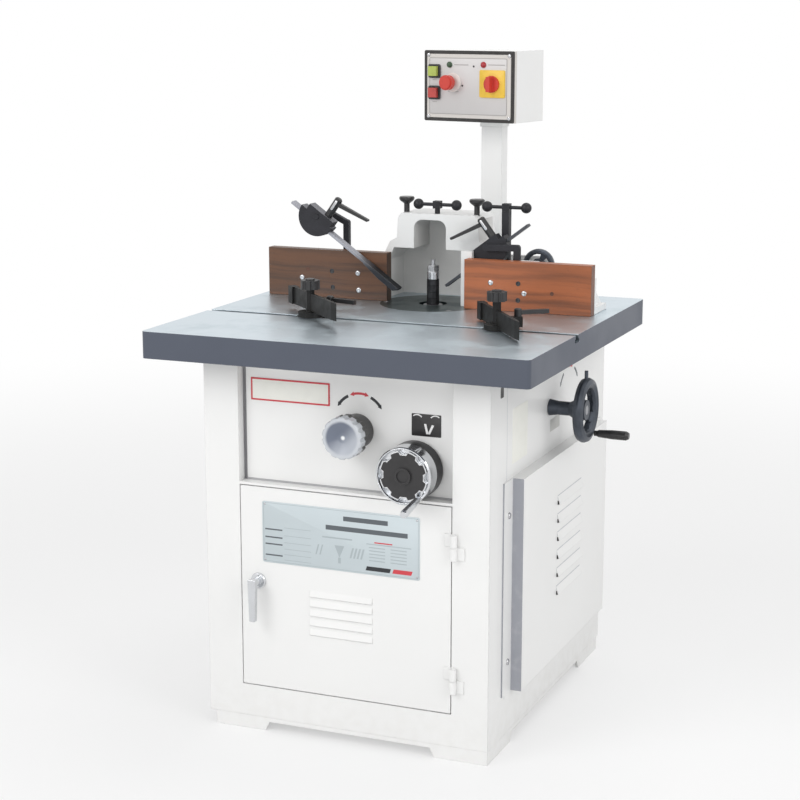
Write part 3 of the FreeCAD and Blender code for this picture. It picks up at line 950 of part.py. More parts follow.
def hold_in(side):
    """One hold-in: a key in the slot, a foot and stem with a leaf through it, a knob and a clamp lever."""
    x = side + "_shoe_x"
    low = side + "_leaf_low - table_top"
    turn = Rotation(Vector(0, 0, 1), num(side + "_leaf_turn"))
    body = new_body(side + "_shoe", (x, "slot_y", "table_top"))
    pad(body, "XY", "free_gap", "foot_disc_t", disc(0, 0, "foot_r"))
    pad(body, "XY", "foot_disc_t - 1", "stem_top - table_top", disc(0, 0, "stem_r"))
    pad(body, "XY", "-slot_lip - free_gap", "free_gap + 1",
        rect("-key_len / 2", "key_len / 2", "-slot_neck / 2 + free_gap", "slot_neck / 2 - free_gap"))
    pad(body, "XY", "-slot_lip - slot_floor + free_gap", "-slot_lip - free_gap",
        rect("-key_len / 2", "key_len / 2", "-slot_head / 2 + free_gap", "slot_head / 2 - free_gap"))
    ahead = turn.multVec(Vector(1, 0, 0))
    across = turn.multVec(Vector(0, 1, 0))

    def spot(along, over):
        return ("%.9f * (%s) + %.9f * (%s)" % (ahead.x, along, across.x, over),
                "%.9f * (%s) + %.9f * (%s)" % (ahead.y, along, across.y, over))
    thick = "leaf_th / 2"
    pad(body, "XY", low, low + " + leaf_h",
        [spot("-leaf_rear", "-" + thick), spot("leaf_fore - leaf_point", "-" + thick), spot("leaf_fore", 0),
         spot("leaf_fore - leaf_point", thick), spot("-leaf_rear", thick)])
    pad(body, "XY", low, low + " + leaf_h",
        [spot("-leaf_rear", "-leaf_pad / 2"), spot("-leaf_rear + leaf_pad_len", "-leaf_pad / 2"),
         spot("-leaf_rear + leaf_pad_len", "leaf_pad / 2"), spot("-leaf_rear", "leaf_pad / 2")])
    pad(body, "XY", low, "clamp_z - table_top",
        [spot("-stem_r", 0), spot("-stem_r", "clamp_out + clamp_hub_r"),
         spot("stem_r", "clamp_out + clamp_hub_r"),
         spot("stem_r", 0)])
    seat = spot(0, "clamp_out")
    cut(body, "XY", "clamp_z - table_top - 10", "clamp_z - table_top", disc(*seat, "clamp_stud_r + run_gap"))

    knob = new_body(side + "_shoe_knob", (x, "slot_y", "stem_top"))
    pad(knob, "XY", "free_gap", "shoe_knob_t", disc(0, 0, "shoe_knob_r"))
    pad(knob, "XY", "shoe_knob_t - 1", "shoe_knob_t + 3", disc(0, 0, "shoe_knob_r / 2"))
    bite = cut(knob, "XY", "free_gap", "shoe_knob_t", disc("shoe_knob_r + 2", 0, "shoe_knob_r / 4"))
    around(knob, bite, 7)

    lever = turned(side + "_shoe_lever", ("%s + %s" % (x, seat[0]), "slot_y + %s" % seat[1], "clamp_z"),
                   Rotation(Vector(0, 0, 1), num(side + "_clamp_turn")),
                   [(0, -9), ("clamp_stud_r", -9), ("clamp_stud_r", "free_gap"), ("clamp_hub_r", "free_gap"),
                    ("clamp_hub_r", "clamp_hub_h - 2"), ("clamp_hub_r - 2", "clamp_hub_h"),
                    (0, "clamp_hub_h")])
    pad(lever, "XY", 4, 13,
        [(0, "-clamp_hub_r + 3"), ("clamp_handle", -4), ("clamp_handle", 4), (0, "clamp_hub_r - 3")])


plinth()
cabinet()
door()
table()
spindle()
drive()
rise()
tension()
controls()
hood()
fence()
hold_down("left", Rotation(Vector(0, 1, 0), num("left_tilt")), "lever_at", "left_bar_back", "left_bar_fore")
hold_down("right", Rotation(Vector(0, 1, 0), -num("right_tilt")).multiply(Rotation(Vector(0, 0, 1), 180)),
          "-lever_at", "right_bar_back", "right_bar_fore")
hold_in("left")
hold_in("right")
doc.recompute()

for thing in doc.Objects:
    if "Invalid" in thing.State or "Error" in thing.State:
        raise RuntimeError("%s is in state %s" % (thing.Name, thing.State))
os.makedirs("parts", exist_ok=True)
for node in NODES:
    if node.Shape.isNull() or not node.Shape.isValid():
        raise RuntimeError("%s has no valid shape" % node.Label)
    node.Shape.exportStep("parts/%s.step" % node.Label)
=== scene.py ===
"""Spindle moulder: finishes, plates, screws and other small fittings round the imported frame.

Places are millimetres from the table's middle (X right, Y to the rear, Z up from the floor).
"""
import math

import bmesh
import bpy
from mathutils import Matrix, Vector


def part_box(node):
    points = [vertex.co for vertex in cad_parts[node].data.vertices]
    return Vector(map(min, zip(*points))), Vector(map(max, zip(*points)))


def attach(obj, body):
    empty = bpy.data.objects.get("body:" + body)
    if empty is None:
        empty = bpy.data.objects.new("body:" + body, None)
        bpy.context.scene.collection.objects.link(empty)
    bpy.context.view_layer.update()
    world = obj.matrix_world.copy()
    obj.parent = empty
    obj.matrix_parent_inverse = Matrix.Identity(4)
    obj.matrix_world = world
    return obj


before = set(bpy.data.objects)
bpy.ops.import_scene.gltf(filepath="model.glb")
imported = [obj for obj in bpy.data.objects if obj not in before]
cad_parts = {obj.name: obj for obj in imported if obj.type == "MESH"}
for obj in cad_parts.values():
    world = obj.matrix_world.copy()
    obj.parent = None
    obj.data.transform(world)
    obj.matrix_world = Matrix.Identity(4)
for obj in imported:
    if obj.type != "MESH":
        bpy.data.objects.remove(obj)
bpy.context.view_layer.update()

MM = 0.001
TABLE_LOW, TABLE_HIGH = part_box("table")
MIDDLE = (TABLE_LOW + TABLE_HIGH) / 2
TABLE_TOP = TABLE_HIGH.z / MM
TABLE_HALF = (TABLE_HIGH - TABLE_LOW) / 2 / MM
SPINDLE_Y = 165
SHARP = math.radians(32)
WELD = 1e-6


def spot(x, y, z):
    """Millimetres from the table's middle, above the floor, as a place in the frame."""
    return Vector((MIDDLE.x + x * MM, MIDDLE.y + y * MM, z * MM))


def shade(red, green, blue):
    """A colour as the eye sees it, 0 to 255, as a shader takes it."""
    def linear(value):
        value /= 255
        return value / 12.92 if value <= 0.04045 else ((value + 0.055) / 1.055) ** 2.4
    return (linear(red), linear(green), linear(blue), 1)


def darker(color, share):
    """The same colour with a share of its light; a share above one makes it paler."""
    return tuple(part * share for part in color[:3]) + (1,)


class Wire:
    """The output of a node; arithmetic on it adds Math nodes to the same finish."""

    def __init__(self, finish, socket):
        self.finish = finish
        self.socket = socket

    def sum(self, operation, first, second=0.0):
        return self.finish.node("Math", {"operation": operation}, first, second)

    def __add__(self, other):
        return self.sum("ADD", self, other)

    def __sub__(self, other):
        return self.sum("SUBTRACT", self, other)

    def __rsub__(self, other):
        return self.sum("SUBTRACT", other, self)

    def __mul__(self, other):
        return self.sum("MULTIPLY", self, other)

    def __gt__(self, other):
        return self.sum("GREATER_THAN", self, other)

    def __lt__(self, other):
        return self.sum("LESS_THAN", self, other)

    def __abs__(self):
        return self.sum("ABSOLUTE", self)

    __radd__ = __add__
    __rmul__ = __mul__


class Finish:
    """A material in the making: one Principled shader and the nodes that feed it."""

    def __init__(self, name, **fixed):
        self.material = bpy.data.materials.new(name)
        self.material.use_nodes = True
        self.tree = self.material.node_tree
        self.shader = self.tree.nodes["Principled BSDF"]
        self.feed(self.shader, fixed)
        self.place = self.node("TexCoord", out="Object")
        self.soft = None

    def seen(self, *rays):
        """One for rays of the kinds named, nothing for the others."""
        hit = 0.0
        for ray in rays:
            hit = self.node("LightPath", out="Is %s Ray" % ray) + hit
        return self.node("Math", {"operation": "MINIMUM"}, hit, 1.0)

    def close(self, surface, end="Material Output"):
        """Hand a shader to the end of the tree."""
        self.feed(self.tree.nodes[end], {"Surface": surface})

    def feed(self, node, values):
        """Set or link a node's sockets, named with _ for a blank or by number."""
        for key, value in values.items():
            socket = node.inputs[key if isinstance(key, int) else key.replace("_", " ")]
            if isinstance(value, Wire):
                self.tree.links.new(value.socket, socket)
            else:
                socket.default_value = value

    def node(self, kind, settings=None, *values, out=0, at=None, **named):
        """Any node: its settings first, then its sockets' values or links by order, number or name."""
        made = self.tree.nodes.new("ShaderNode" + kind)
        for key, value in (settings or {}).items():
            setattr(made, key, value)
        self.feed(made, dict(enumerate(values)))
        self.feed(made, at or {})
        self.feed(made, named)
        return Wire(self, made.outputs[out])

    def stretch(self, x, y, z):
        """The place on the piece, drawn out or squeezed along each axis."""
        return self.node("VectorMath", {"operation": "MULTIPLY"}, self.place, (x, y, z))

    def part(self, axis):
        """One coordinate of the place on the piece."""
        return self.node("SeparateXYZ", None, self.place, out=axis)

    def reach(self, centre, across):
        """How far a place lies from a centre, counted only along the axes in across."""
        away = self.node("VectorMath", {"operation": "SUBTRACT"}, self.place, centre)
        flat = self.node("VectorMath", {"operation": "MULTIPLY"}, away, across)
        return self.node("VectorMath", {"operation": "LENGTH"}, flat, out="Value")

    def noise(self, scale, detail=3.0, vector=None, rough=0.5):
        vector = vector or self.place
        return self.node("TexNoise", None, Vector=vector, Scale=scale, Detail=detail, Roughness=rough)

    def between(self, value, low, high, to_low=0.0, to_high=1.0):
        """A soft step of value from low to high."""
        return self.node("MapRange", {"interpolation_type": "SMOOTHSTEP"}, value, low, high, to_low, to_high)

    def blend(self, share, first, second):
        return self.node("Mix", {"data_type": "RGBA"}, out=2, at={0: share, 6: first, 7: second})

    def rim(self, radius):
        """Strong along sharp edges, nothing on flat ground; softens the edges, by a radius in millimetres."""
        self.soft = self.node("Bevel", {"samples": 4}, radius * MM)
        flat = self.node("NewGeometry", out="Normal")
        return 1 - self.dot(self.soft, flat)

    def dot(self, first, second):
        return self.node("VectorMath", {"operation": "DOT_PRODUCT"}, first, second, out="Value")

    def bump(self, height, deep):
        """Fine relief, deep millimetres where height is one, on top of the softened edges."""
        softened = {"Normal": self.soft} if self.soft else {}
        return self.node("Bump", None, Strength=1.0, Distance=deep * MM, Height=height, **softened)

    def wear(self, **values):
        """Feed the shader and hand out the finished material."""
        self.feed(self.shader, values)
        return self.material


class Sky(Finish):
    """The world's light, made with the same nodes."""

    def __init__(self, name):
        world = bpy.data.worlds.new(name)
        bpy.context.scene.world = world
        world.use_nodes = True
        self.tree = world.node_tree


WHITE = shade(240, 240, 239)
COVER_OUT = 347
STEP_SLACK = 0.5
DUST_TOP = 160
DUST_LOW = 20


def enamel(name, color, gloss=0.32, peel=0.04, worn=0.5, shade_step_out=None):
    """Gloss paint on steel or iron: orange peel, faint clouding, a trace of dust low down, rubbed edges.

    The faces that look to the front, out along X to the step that the argument gives, are painted grey as
    shade.
    """
    f = Finish(name, Coat_Weight=0.15, Coat_Roughness=0.12)
    cloud = f.between(f.noise(2.2, 4), 0.35, 0.7)
    fine = f.noise(38, 4)
    low = f.between(f.part(2), DUST_TOP * MM, DUST_LOW * MM) * f.between(fine, 0.3, 0.75)
    edge = f.between(f.rim(1.8), 0.03, 0.2) * f.between(f.noise(55, 5), 0.42, 0.62)
    tone = f.blend(cloud * 0.5, color, darker(color, 0.95))
    # Painted shade: faces turned to the front, out to the step, are greyed as if in shade.
    if shade_step_out:
        facing = f.dot(f.node("TexCoord", out="Normal"), (0, -1, 0)) > 0.7
        painted_step_shade = facing * (f.part(0) < spot(shade_step_out, 0, 0).x) * f.between(fine, 0.05, 0.5, 0.7, 1.0)
        tone = f.blend(painted_step_shade, tone, shade(162, 164, 172))
    dusty = f.blend(low * 0.10, tone, shade(196, 190, 180))
    rubbed = f.blend(edge * worn, dusty, darker(color, 0.62))
    peeled = f.noise(420, 2)
    return f.wear(Base_Color=rubbed, Roughness=gloss + fine * 0.10 + low * 0.25,
                  Normal=f.bump(peeled, peel))


def plain_steel(name, color, rough=0.34, grain=(40, 40, 900), mark=0.3, metal=1.0, shade_end=None):
    """Turned or ground steel: fine tool marks, cloudy stains, perhaps painted shade towards its lower end."""
    f = Finish(name, Metallic=metal)
    marks = f.noise(1.0, 2, f.stretch(*grain))
    stain = f.between(f.noise(16, 5), 0.4, 0.72)
    edge = f.between(f.rim(0.8), 0.03, 0.2)
    toned = f.blend(marks * mark, color, darker(color, 0.72))
    aged = f.blend(stain * 0.35, toned, darker(color, 0.6))
    # Painted shade: darker towards the lower end, standing in for shade and for the dark board the bar
    # mirrors.
    if shade_end:
        lower = f.between(f.part(2), shade_end[0] * MM, shade_end[1] * MM)
        aged = f.blend(lower, aged, shade(62, 64, 68))
    return f.wear(Base_Color=f.blend(edge * 0.4, aged, shade(214, 214, 216)),
                  Roughness=rough + marks * 0.12 + stain * 0.14, Normal=f.bump(marks, 0.03))


def blackened(name, color=shade(40, 40, 43), rough=0.42, worn=0.55, rubbed_side=None):
    """Blackened steel: matt, a little cloudy, bare metal at the edges and on one rubbed side."""
    f = Finish(name, Metallic=0.55)
    cloud = f.between(f.noise(45, 5), 0.38, 0.7)
    grain = f.noise(650, 2)
    edge = f.between(f.rim(1), 0.04, 0.22) * f.between(f.noise(120, 4), 0.4, 0.6)
    toned = f.blend(cloud * 0.6, color, darker(color, 1.7))
    if rubbed_side:
        facing = f.dot(f.node("TexCoord", out="Normal"), rubbed_side) > 0.9
        toned = f.blend(facing * f.between(grain, 0.1, 0.5), toned, shade(118, 118, 123))
    return f.wear(Base_Color=f.blend(edge * worn, toned, shade(150, 150, 152)),
                  Roughness=rough + cloud * 0.14, Normal=f.bump(grain, 0.03))


def moulded(name, color, rough=0.34, grain=0.04, worn=0.35):
    """Moulded plastic: slight grain, dust in the low tones, paler edges."""
    f = Finish(name, Coat_Weight=0.08)
    cloud = f.between(f.noise(70, 4), 0.4, 0.7)
    grains = f.noise(1100, 1)
    edge = f.between(f.rim(0.9), 0.04, 0.22)
    pale = tuple(min(1, part * 1.6 + 0.03) for part in color[:3]) + (1,)
    toned = f.blend(cloud * 0.4, color, darker(color, 0.78))
    return f.wear(Base_Color=f.blend(edge * worn, toned, pale), Roughness=rough + cloud * 0.14,
                  Normal=f.bump(grains, grain))


def bright(name, color=shade(214, 216, 219), rough=0.09):
    """Chrome plate: near mirror, with faint haze and polishing lines."""
    f = Finish(name, Metallic=1.0)
    haze = f.between(f.noise(26, 5), 0.42, 0.7)
    lines = f.noise(1.0, 2, f.stretch(60, 900, 60))
    edge = f.between(f.rim(1.2), 0.03, 0.2)
    hazy = f.blend(haze * 0.25, color, darker(color, 0.8))
    return f.wear(Base_Color=f.blend(edge * 0.5, hazy, shade(240, 240, 242)),
                  Roughness=rough + haze * 0.12 + lines * 0.04, Normal=f.bump(lines, 0.012))


DRUM_BAND = 34
LOBES = 8
LOBE_ROOT = 43
LOBE_TIP = 49.5
TABLE_CORNER = 25
GROUND_EDGE = 0.5
SLOT_DEEP = 22
SLOT_DARK = 5


def drum_finish():
    """The front handwheel: chrome in front, a black band round the rear of its drum."""
    f = Finish("drum_finish", Metallic=1.0)
    band = f.part(1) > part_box("front_wheel")[1].y - DRUM_BAND * MM
    haze = f.between(f.noise(26, 5), 0.42, 0.7)
    lines = f.noise(1.0, 2, f.stretch(60, 900, 60))
    edge = f.between(f.rim(1.2), 0.03, 0.2)
    chrome = f.blend(haze * 0.25, shade(214, 216, 219), shade(190, 192, 195))
    chrome = f.blend(edge * 0.5, chrome, shade(240, 240, 242))
    black = f.blend(haze * 0.5, shade(38, 38, 40), shade(60, 60, 63))
    return f.wear(Base_Color=f.blend(band, chrome, black), Roughness=0.09 + band * 0.2 + haze * 0.1,
                  Normal=f.bump(lines, 0.012))


def lobed_finish():
    """The lock knob in the front handwheel: a black lobed grip on a bright plate."""
    f = Finish("lobed_finish")
    low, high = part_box("wheel_lock_knob")
    middle = (low + high) / 2
    turn = f.node("Math", {"operation": "ARCTAN2"}, f.part(2) - middle.z, f.part(0) - middle.x)
    wave = f.node("Math", {"operation": "COSINE"}, turn * LOBES)
    outline = f.between(wave, 0.4, -0.2, LOBE_ROOT * MM, LOBE_TIP * MM)
    grip = f.reach(middle, (1, 0, 1)) < outline
    cloud = f.between(f.noise(70, 4), 0.4, 0.7)
    edge = f.between(f.rim(0.9), 0.04, 0.22)
    black = f.blend(cloud * 0.4, shade(44, 43, 44), shade(30, 29, 30))
    black = f.blend(edge * 0.3, black, shade(84, 84, 86))
    plate = f.blend(cloud * 0.25, shade(222, 223, 225), shade(196, 198, 200))
    return f.wear(Base_Color=f.blend(grip, plate, black), Metallic=1 - grip,
                  Roughness=0.12 + grip * 0.26 + cloud * 0.1, Normal=f.bump(f.noise(1100, 1), 0.02))


def table_finish():
    """Ground top, slot and bore with a bluish sheen, painted shade deeper in slot and bore; slate paint on
    the outer sides and under the plate.
    """
    f = Finish("table_finish")
    up = f.node("SeparateXYZ", None, f.node("NewGeometry", out="True Normal"), out=2)
    across = abs(f.part(0) - MIDDLE.x)
    along = abs(f.part(1) - MIDDLE.y)
    height = f.part(2)
    inside = (across < (TABLE_HALF.x - GROUND_EDGE) * MM) * (along < (TABLE_HALF.y - GROUND_EDGE) * MM)
    inside = inside * (across + along < (TABLE_HALF.x + TABLE_HALF.y - TABLE_CORNER) * MM)
    machined = (up > -0.5) * inside * (height > (TABLE_TOP - SLOT_DEEP) * MM)
    level = (up > 0.9) * (height > (TABLE_TOP - 2 * GROUND_EDGE) * MM)
    top = f.node("Math", {"operation": "MAXIMUM"}, machined, level)
    lines = f.noise(1.0, 3, f.stretch(6, 700, 6))
    swirl = f.noise(5, 5)
    stain = f.between(f.noise(11, 6, rough=0.6), 0.45, 0.75)
    iron = shade(205, 216, 223)
    ground = f.blend(lines * 0.35, iron, darker(iron, 0.8))
    ground = f.blend(stain * 0.30, ground, shade(158, 170, 172))
    # Painted shade: the slot and the bore grow darker below the top.
    sunk = f.between(height, (TABLE_TOP - GROUND_EDGE) * MM, (TABLE_TOP - SLOT_DARK) * MM)
    ground = f.blend(sunk * 0.75, ground, shade(88, 96, 102))
    slate = shade(77, 83, 96)
    cloud = f.between(f.noise(5, 4), 0.35, 0.7)
    edge = f.between(f.rim(1.8), 0.03, 0.2) * f.between(f.noise(60, 5), 0.38, 0.6)
    paint = f.blend(cloud * 0.5, slate, darker(slate, 0.9))
    paint = f.blend(edge * 0.5, paint, shade(150, 156, 166))
    metal_rough = 0.26 + lines * 0.12 + stain * 0.12 + swirl * 0.05
    paint_rough = 0.42 + cloud * 0.1
    rough = top * metal_rough + (1 - top) * paint_rough
    peel = f.noise(380, 2)
    height_map = top * lines * 0.35 + (1 - top) * peel
    return f.wear(Base_Color=f.blend(top, paint, ground), Metallic=top, Roughness=rough,
                  Normal=f.bump(height_map, 0.04))


def ring_finish():
    """Turned insert rings: circular tool marks round the spindle."""
    f = Finish("ring_finish", Metallic=1.0)
    radius = f.reach(spot(0, SPINDLE_Y, 0), (1, 1, 0))
    rings = f.node("TexNoise", {"noise_dimensions": "1D"}, W=radius, Scale=1500, Detail=2)
    stain = f.between(f.noise(22, 5), 0.42, 0.72)
    tone = shade(112, 124, 126)
    turned = f.blend(rings * 0.6, tone, darker(tone, 0.55))
    return f.wear(Base_Color=f.blend(stain * 0.4, turned, darker(tone, 0.5)),
                  Roughness=0.27 + rings * 0.15 + stain * 0.12, Normal=f.bump(rings, 0.06))


def board_wood(name, pale, deep):
    """Planed hardwood: long grain along X, pores, darker end grain and a thin film of varnish."""
    f = Finish(name, Coat_Weight=0.12, Coat_Roughness=0.25)
    bend = f.node("CombineXYZ", None, 0, 0, f.noise(3.2, 3) * 2.2)
    bent = f.node("VectorMath", {"operation": "ADD"}, f.stretch(2.2, 60, 60), bend)
    grain = f.noise(1.0, 6, bent, rough=0.62)
    band = f.between(f.noise(1.0, 3, f.stretch(2.5, 9, 9)), 0.35, 0.68)
    pores = f.between(f.noise(1.0, 2, f.stretch(55, 900, 900)), 0.60, 0.72)
    side = abs(f.node("SeparateXYZ", None, f.node("NewGeometry", out="True Normal"), out=0)) > 0.7
    edge = f.between(f.rim(1.6), 0.03, 0.22)
    tone = f.blend(f.between(grain, 0.28, 0.62), deep, pale)
    tone = f.blend(band * 0.45, tone, darker(deep, 0.9))
    tone = f.blend(pores * 0.35, tone, darker(deep, 0.5))
    tone = f.blend(side * 0.7, tone, darker(deep, 0.35))
    tone = f.blend(edge * 0.45, tone, darker(deep, 0.4))
    return f.wear(Base_Color=tone, Roughness=0.40 + grain * 0.16, Normal=f.bump(grain - pores * 0.6, 0.25))


def cast(name, color, rough=0.6, grit=0.4):
    """Sand-cast iron under thin paint: pebbly, cloudy."""
    f = Finish(name, Metallic=0.25)
    sand = f.noise(260, 5, rough=0.6)
    cloud = f.between(f.noise(9, 4), 0.35, 0.7)
    edge = f.between(f.rim(1.6), 0.04, 0.2)
    tone = f.blend(cloud * 0.5, color, darker(color, 0.7))
    return f.wear(Base_Color=f.blend(edge * 0.4, tone, darker(color, 1.5)), Roughness=rough + cloud * 0.1,
                  Normal=f.bump(sand, grit))


HOOD_FRONT = 200
HOOD_BACK = 308
HOOD_HALF = 137
HOOD_WALL = 12
HOOD_SKIN = 0.6
HOOD_LIP = 0.8
BARE_TOP = 1058


def hood_finish():
    """White enamel outside the hood; grey inside it, partly the bare casting's own and partly painted shade
    of the hollow.
    """
    f = Finish("hood_finish", Coat_Weight=0.1, Coat_Roughness=0.2)
    across = abs(f.part(0) - MIDDLE.x) < (HOOD_HALF - HOOD_WALL + HOOD_SKIN) * MM
    ahead = f.part(1) > spot(0, HOOD_FRONT + HOOD_LIP, 0).y
    behind = f.part(1) < spot(0, HOOD_BACK - HOOD_WALL + HOOD_SKIN, 0).y
    under = f.part(2) < BARE_TOP * MM
    bare = across * ahead * behind * under
    sand = f.noise(240, 5, rough=0.6)
    cloud = f.between(f.noise(7, 4), 0.35, 0.7)
    fine = f.noise(45, 4)
    edge = f.between(f.rim(1.8), 0.03, 0.2) * f.between(f.noise(60, 5), 0.42, 0.62)
    white = f.blend(cloud * 0.5, WHITE, darker(WHITE, 0.94))
    white = f.blend(edge * 0.35, white, darker(WHITE, 0.62))
    # Painted shade: this grey is partly the bare casting's colour, partly the shade inside the hood.
    grey = f.blend(cloud * 0.7, shade(224, 223, 221), shade(202, 201, 199))
    return f.wear(Base_Color=f.blend(bare, white, grey), Roughness=0.34 + bare * 0.2 + fine * 0.1,
                  Normal=f.bump(sand * (0.25 + bare * 0.75), 0.3))


STAR_X = 22
STAR_Z = 677
STAR_BASE_Y = -371
DISH_RIM = 40
DISH_SHADE = 33
DISH_WAVER = 4
SHADE_FROM = -12
SHADE_TO = 26
GLINT_RIM = 6
GLINT_CORE = 2


def star_finish():
    """The star knob: a clear grey grip with painted shade in its dish, lighter to one side, a painted
    highlight at the centre, on a black base.
    """
    f = Finish("star_finish", Coat_Weight=0.35, Coat_Roughness=0.08)
    front = f.part(1) < spot(0, STAR_BASE_Y, 0).y
    radius = f.reach(spot(STAR_X, 0, STAR_Z), (1, 0, 1))
    swirl = f.noise(35, 3)
    # Painted shade: the dish is darker than the pale rim round it.
    dish = f.between(radius + swirl * (DISH_WAVER * MM), DISH_RIM * MM, DISH_SHADE * MM)
    # Painted highlight: a bright spot at the centre.
    glint = f.between(radius, GLINT_RIM * MM, GLINT_CORE * MM)
    # Painted light and shade: the dish grows lighter towards one side.
    slope = f.dot(f.place, (0.7, 0, -0.7)) - (spot(STAR_X, 0, STAR_Z).x - STAR_Z * MM) * 0.7
    lit = f.between(slope, SHADE_FROM * MM, SHADE_TO * MM)
    clear = f.blend(lit, shade(104, 112, 128), shade(176, 181, 190))
    grey = f.blend(dish, shade(196, 200, 206), clear)
    grey = f.blend(glint, grey, shade(236, 238, 240))
    black = f.blend(swirl * 0.5, shade(34, 32, 32), shade(52, 50, 49))
    edge = f.between(f.rim(1.2), 0.03, 0.2)
    tone = f.blend(front, black, f.blend(edge * 0.7, grey, shade(236, 238, 240)))
    return f.wear(Base_Color=tone, Roughness=0.42 - front * 0.26 + swirl * 0.08,
                  Normal=f.bump(f.noise(500, 2), 0.02))


SPACERS = 4
SPACER_JOINT = 0.6


def spacer_finish():
    """Spacer rings: blackened, with a fine joint between one ring and the next."""
    f = Finish("spacer_finish", Metallic=0.7)
    low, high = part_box("spacer_rings")
    step = (high.z - low.z) / SPACERS
    phase = f.node("Math", {"operation": "PINGPONG"}, f.part(2) - low.z, step / 2)
    joint = phase < SPACER_JOINT * MM
    cloud = f.between(f.noise(90, 4), 0.38, 0.7)
    tone = f.blend(cloud * 0.6, shade(40, 40, 42), shade(66, 66, 69))
    return f.wear(Base_Color=f.blend(joint, tone, shade(12, 12, 12)), Roughness=0.36 + cloud * 0.12,
                  Normal=f.bump((1 - joint), 0.3))


def printed(name, color, rough=0.45):
    """Screen-printed ink on a plate."""
    f = Finish(name)
    cloud = f.between(f.noise(40, 4), 0.4, 0.7)
    return f.wear(Base_Color=f.blend(cloud * 0.2, color, darker(color, 0.88)), Roughness=rough + cloud * 0.1)


def brushed_plate(name, color, metal=0.35, rough=0.36):
    """Thin anodised sheet with brushing along its length."""
    f = Finish(name, Metallic=metal)
    lines = f.noise(1.0, 3, f.stretch(12, 1600, 40))
    cloud = f.between(f.noise(14, 4), 0.35, 0.7)
    edge = f.between(f.rim(0.6), 0.04, 0.2)
    tone = f.blend(lines * 0.3, color, darker(color, 0.82))
    tone = f.blend(cloud * 0.2, tone, darker(color, 0.86))
    return f.wear(Base_Color=f.blend(edge * 0.5, tone, shade(232, 234, 236)), Roughness=rough + lines * 0.12,
                  Normal=f.bump(lines, 0.01))


LEFT_TILT = math.radians(35.5)
RIGHT_TILT = math.radians(37)
LEFT_UP = (math.sin(LEFT_TILT), 0, math.cos(LEFT_TILT))
RIGHT_UP = (-math.sin(RIGHT_TILT), 0, math.cos(RIGHT_TILT))

FINISH = {
    "white": enamel("white_enamel", WHITE),
    "cover": enamel("cover_enamel", WHITE, shade_step_out=COVER_OUT + STEP_SLACK),
    "panel": enamel("panel_enamel", shade(214, 209, 204), gloss=0.38, peel=0.02),
    "table": table_finish(),
    "drum": drum_finish(),
    "lobed": lobed_finish(),
    "rings": ring_finish(),
    "hood": hood_finish(),
    "star": star_finish(),
    "spacers": spacer_finish(),
    "steel": plain_steel("turned_steel", shade(176, 177, 180)),
    "bar_steel": plain_steel("drawn_bar", shade(164, 165, 172), rough=0.4, grain=(30, 500, 30), mark=0.5,
                             shade_end=(990, 940)),
    "dark_bar": plain_steel("dark_bar", shade(84, 86, 90), rough=0.4, grain=(30, 500, 30), mark=0.5),
    "black_steel": blackened("blackened_steel"),
    "leaf_steel": blackened("leaf_steel", shade(27, 26, 25), rough=0.5, worn=0.4),
    "black_cast": blackened("black_casting", shade(44, 44, 48), rough=0.5, worn=0.35),
    "left_cast": blackened("left_casting", shade(44, 44, 48), rough=0.5, worn=0.3, rubbed_side=LEFT_UP),
    "right_cast": blackened("right_casting", shade(44, 44, 48), rough=0.5, worn=0.3, rubbed_side=RIGHT_UP),
    "wheel_black": blackened("wheel_black", shade(66, 71, 79), rough=0.36, worn=0.25),
    "black_plastic": moulded("black_moulding", shade(36, 35, 36)),
    "red": moulded("red_moulding", shade(205, 62, 50), worn=0.15),
    "dull_red": moulded("red_button", shade(190, 72, 66), worn=0.15),
    "green": moulded("green_button", shade(176, 190, 92), worn=0.15),
    "yellow": moulded("yellow_plate", shade(238, 196, 66), worn=0.15),
    "lamp_green": moulded("green_lamp", shade(52, 78, 52), rough=0.15),
    "lamp_red": moulded("red_lamp", shade(170, 40, 46), rough=0.15),
    "chrome": bright("chrome_plate"),
    "nickel": bright("nickel_plate", shade(190, 190, 192), rough=0.2),
    # Painted shade: the left board is the same wood as the right, given darker tones for the shade it stands
    # in.
    "shaded_left_wood": board_wood("shaded_left_board_wood", shade(108, 71, 47), shade(73, 50, 36)),
    "right_wood": board_wood("right_board_wood", shade(174, 99, 58), shade(119, 69, 43)),
    "casting": cast("iron_casting", shade(92, 95, 98)),
    "motor": enamel("motor_enamel", shade(72, 84, 100), gloss=0.4),
    "aluminium": plain_steel("cast_aluminium", shade(190, 192, 194), rough=0.42, grain=(90, 90, 400)),
    "rubber": moulded("belt_rubber", shade(28, 28, 28), rough=0.7),
    "gasket": moulded("black_gasket", shade(46, 44, 43), rough=0.6),
    "silver_plate": brushed_plate("silver_plate", shade(200, 210, 214)),
    "face_sheet": brushed_plate("face_sheet", shade(202, 199, 198), metal=0.2),
    "label": printed("pale_label", shade(243, 243, 236)),
    "dull_label": printed("dull_label", shade(206, 206, 202)),
    "plug": printed("wood_plug", shade(92, 56, 40)),
    "ink_black": printed("black_ink", shade(40, 42, 46)),
    "ink_grey": printed("grey_ink", shade(172, 182, 186)),
    "ink_slate": printed("slate_ink", shade(92, 98, 103)),
    "sheet_line": printed("sheet_line", shade(166, 162, 160)),
    "pale_ring": printed("pale_ring", shade(224, 216, 211)),
    # The sheet joint's own grey; the same grey is painted shade along each louvre's fold.
    "joint_and_fold_shade": printed("sheet_joint_and_fold_shade", shade(196, 198, 202)),
    # Painted shadow: tones for the strips of shade along the sunk panel's edges.
    "side_shadow": printed("recess_side_shadow", shade(122, 122, 125)),
    "foot_shadow": printed("recess_foot_shadow", shade(176, 176, 178)),
    "ink_red": printed("red_ink", shade(206, 66, 76)),
    "ink_white": printed("white_ink", shade(240, 240, 240)),
}

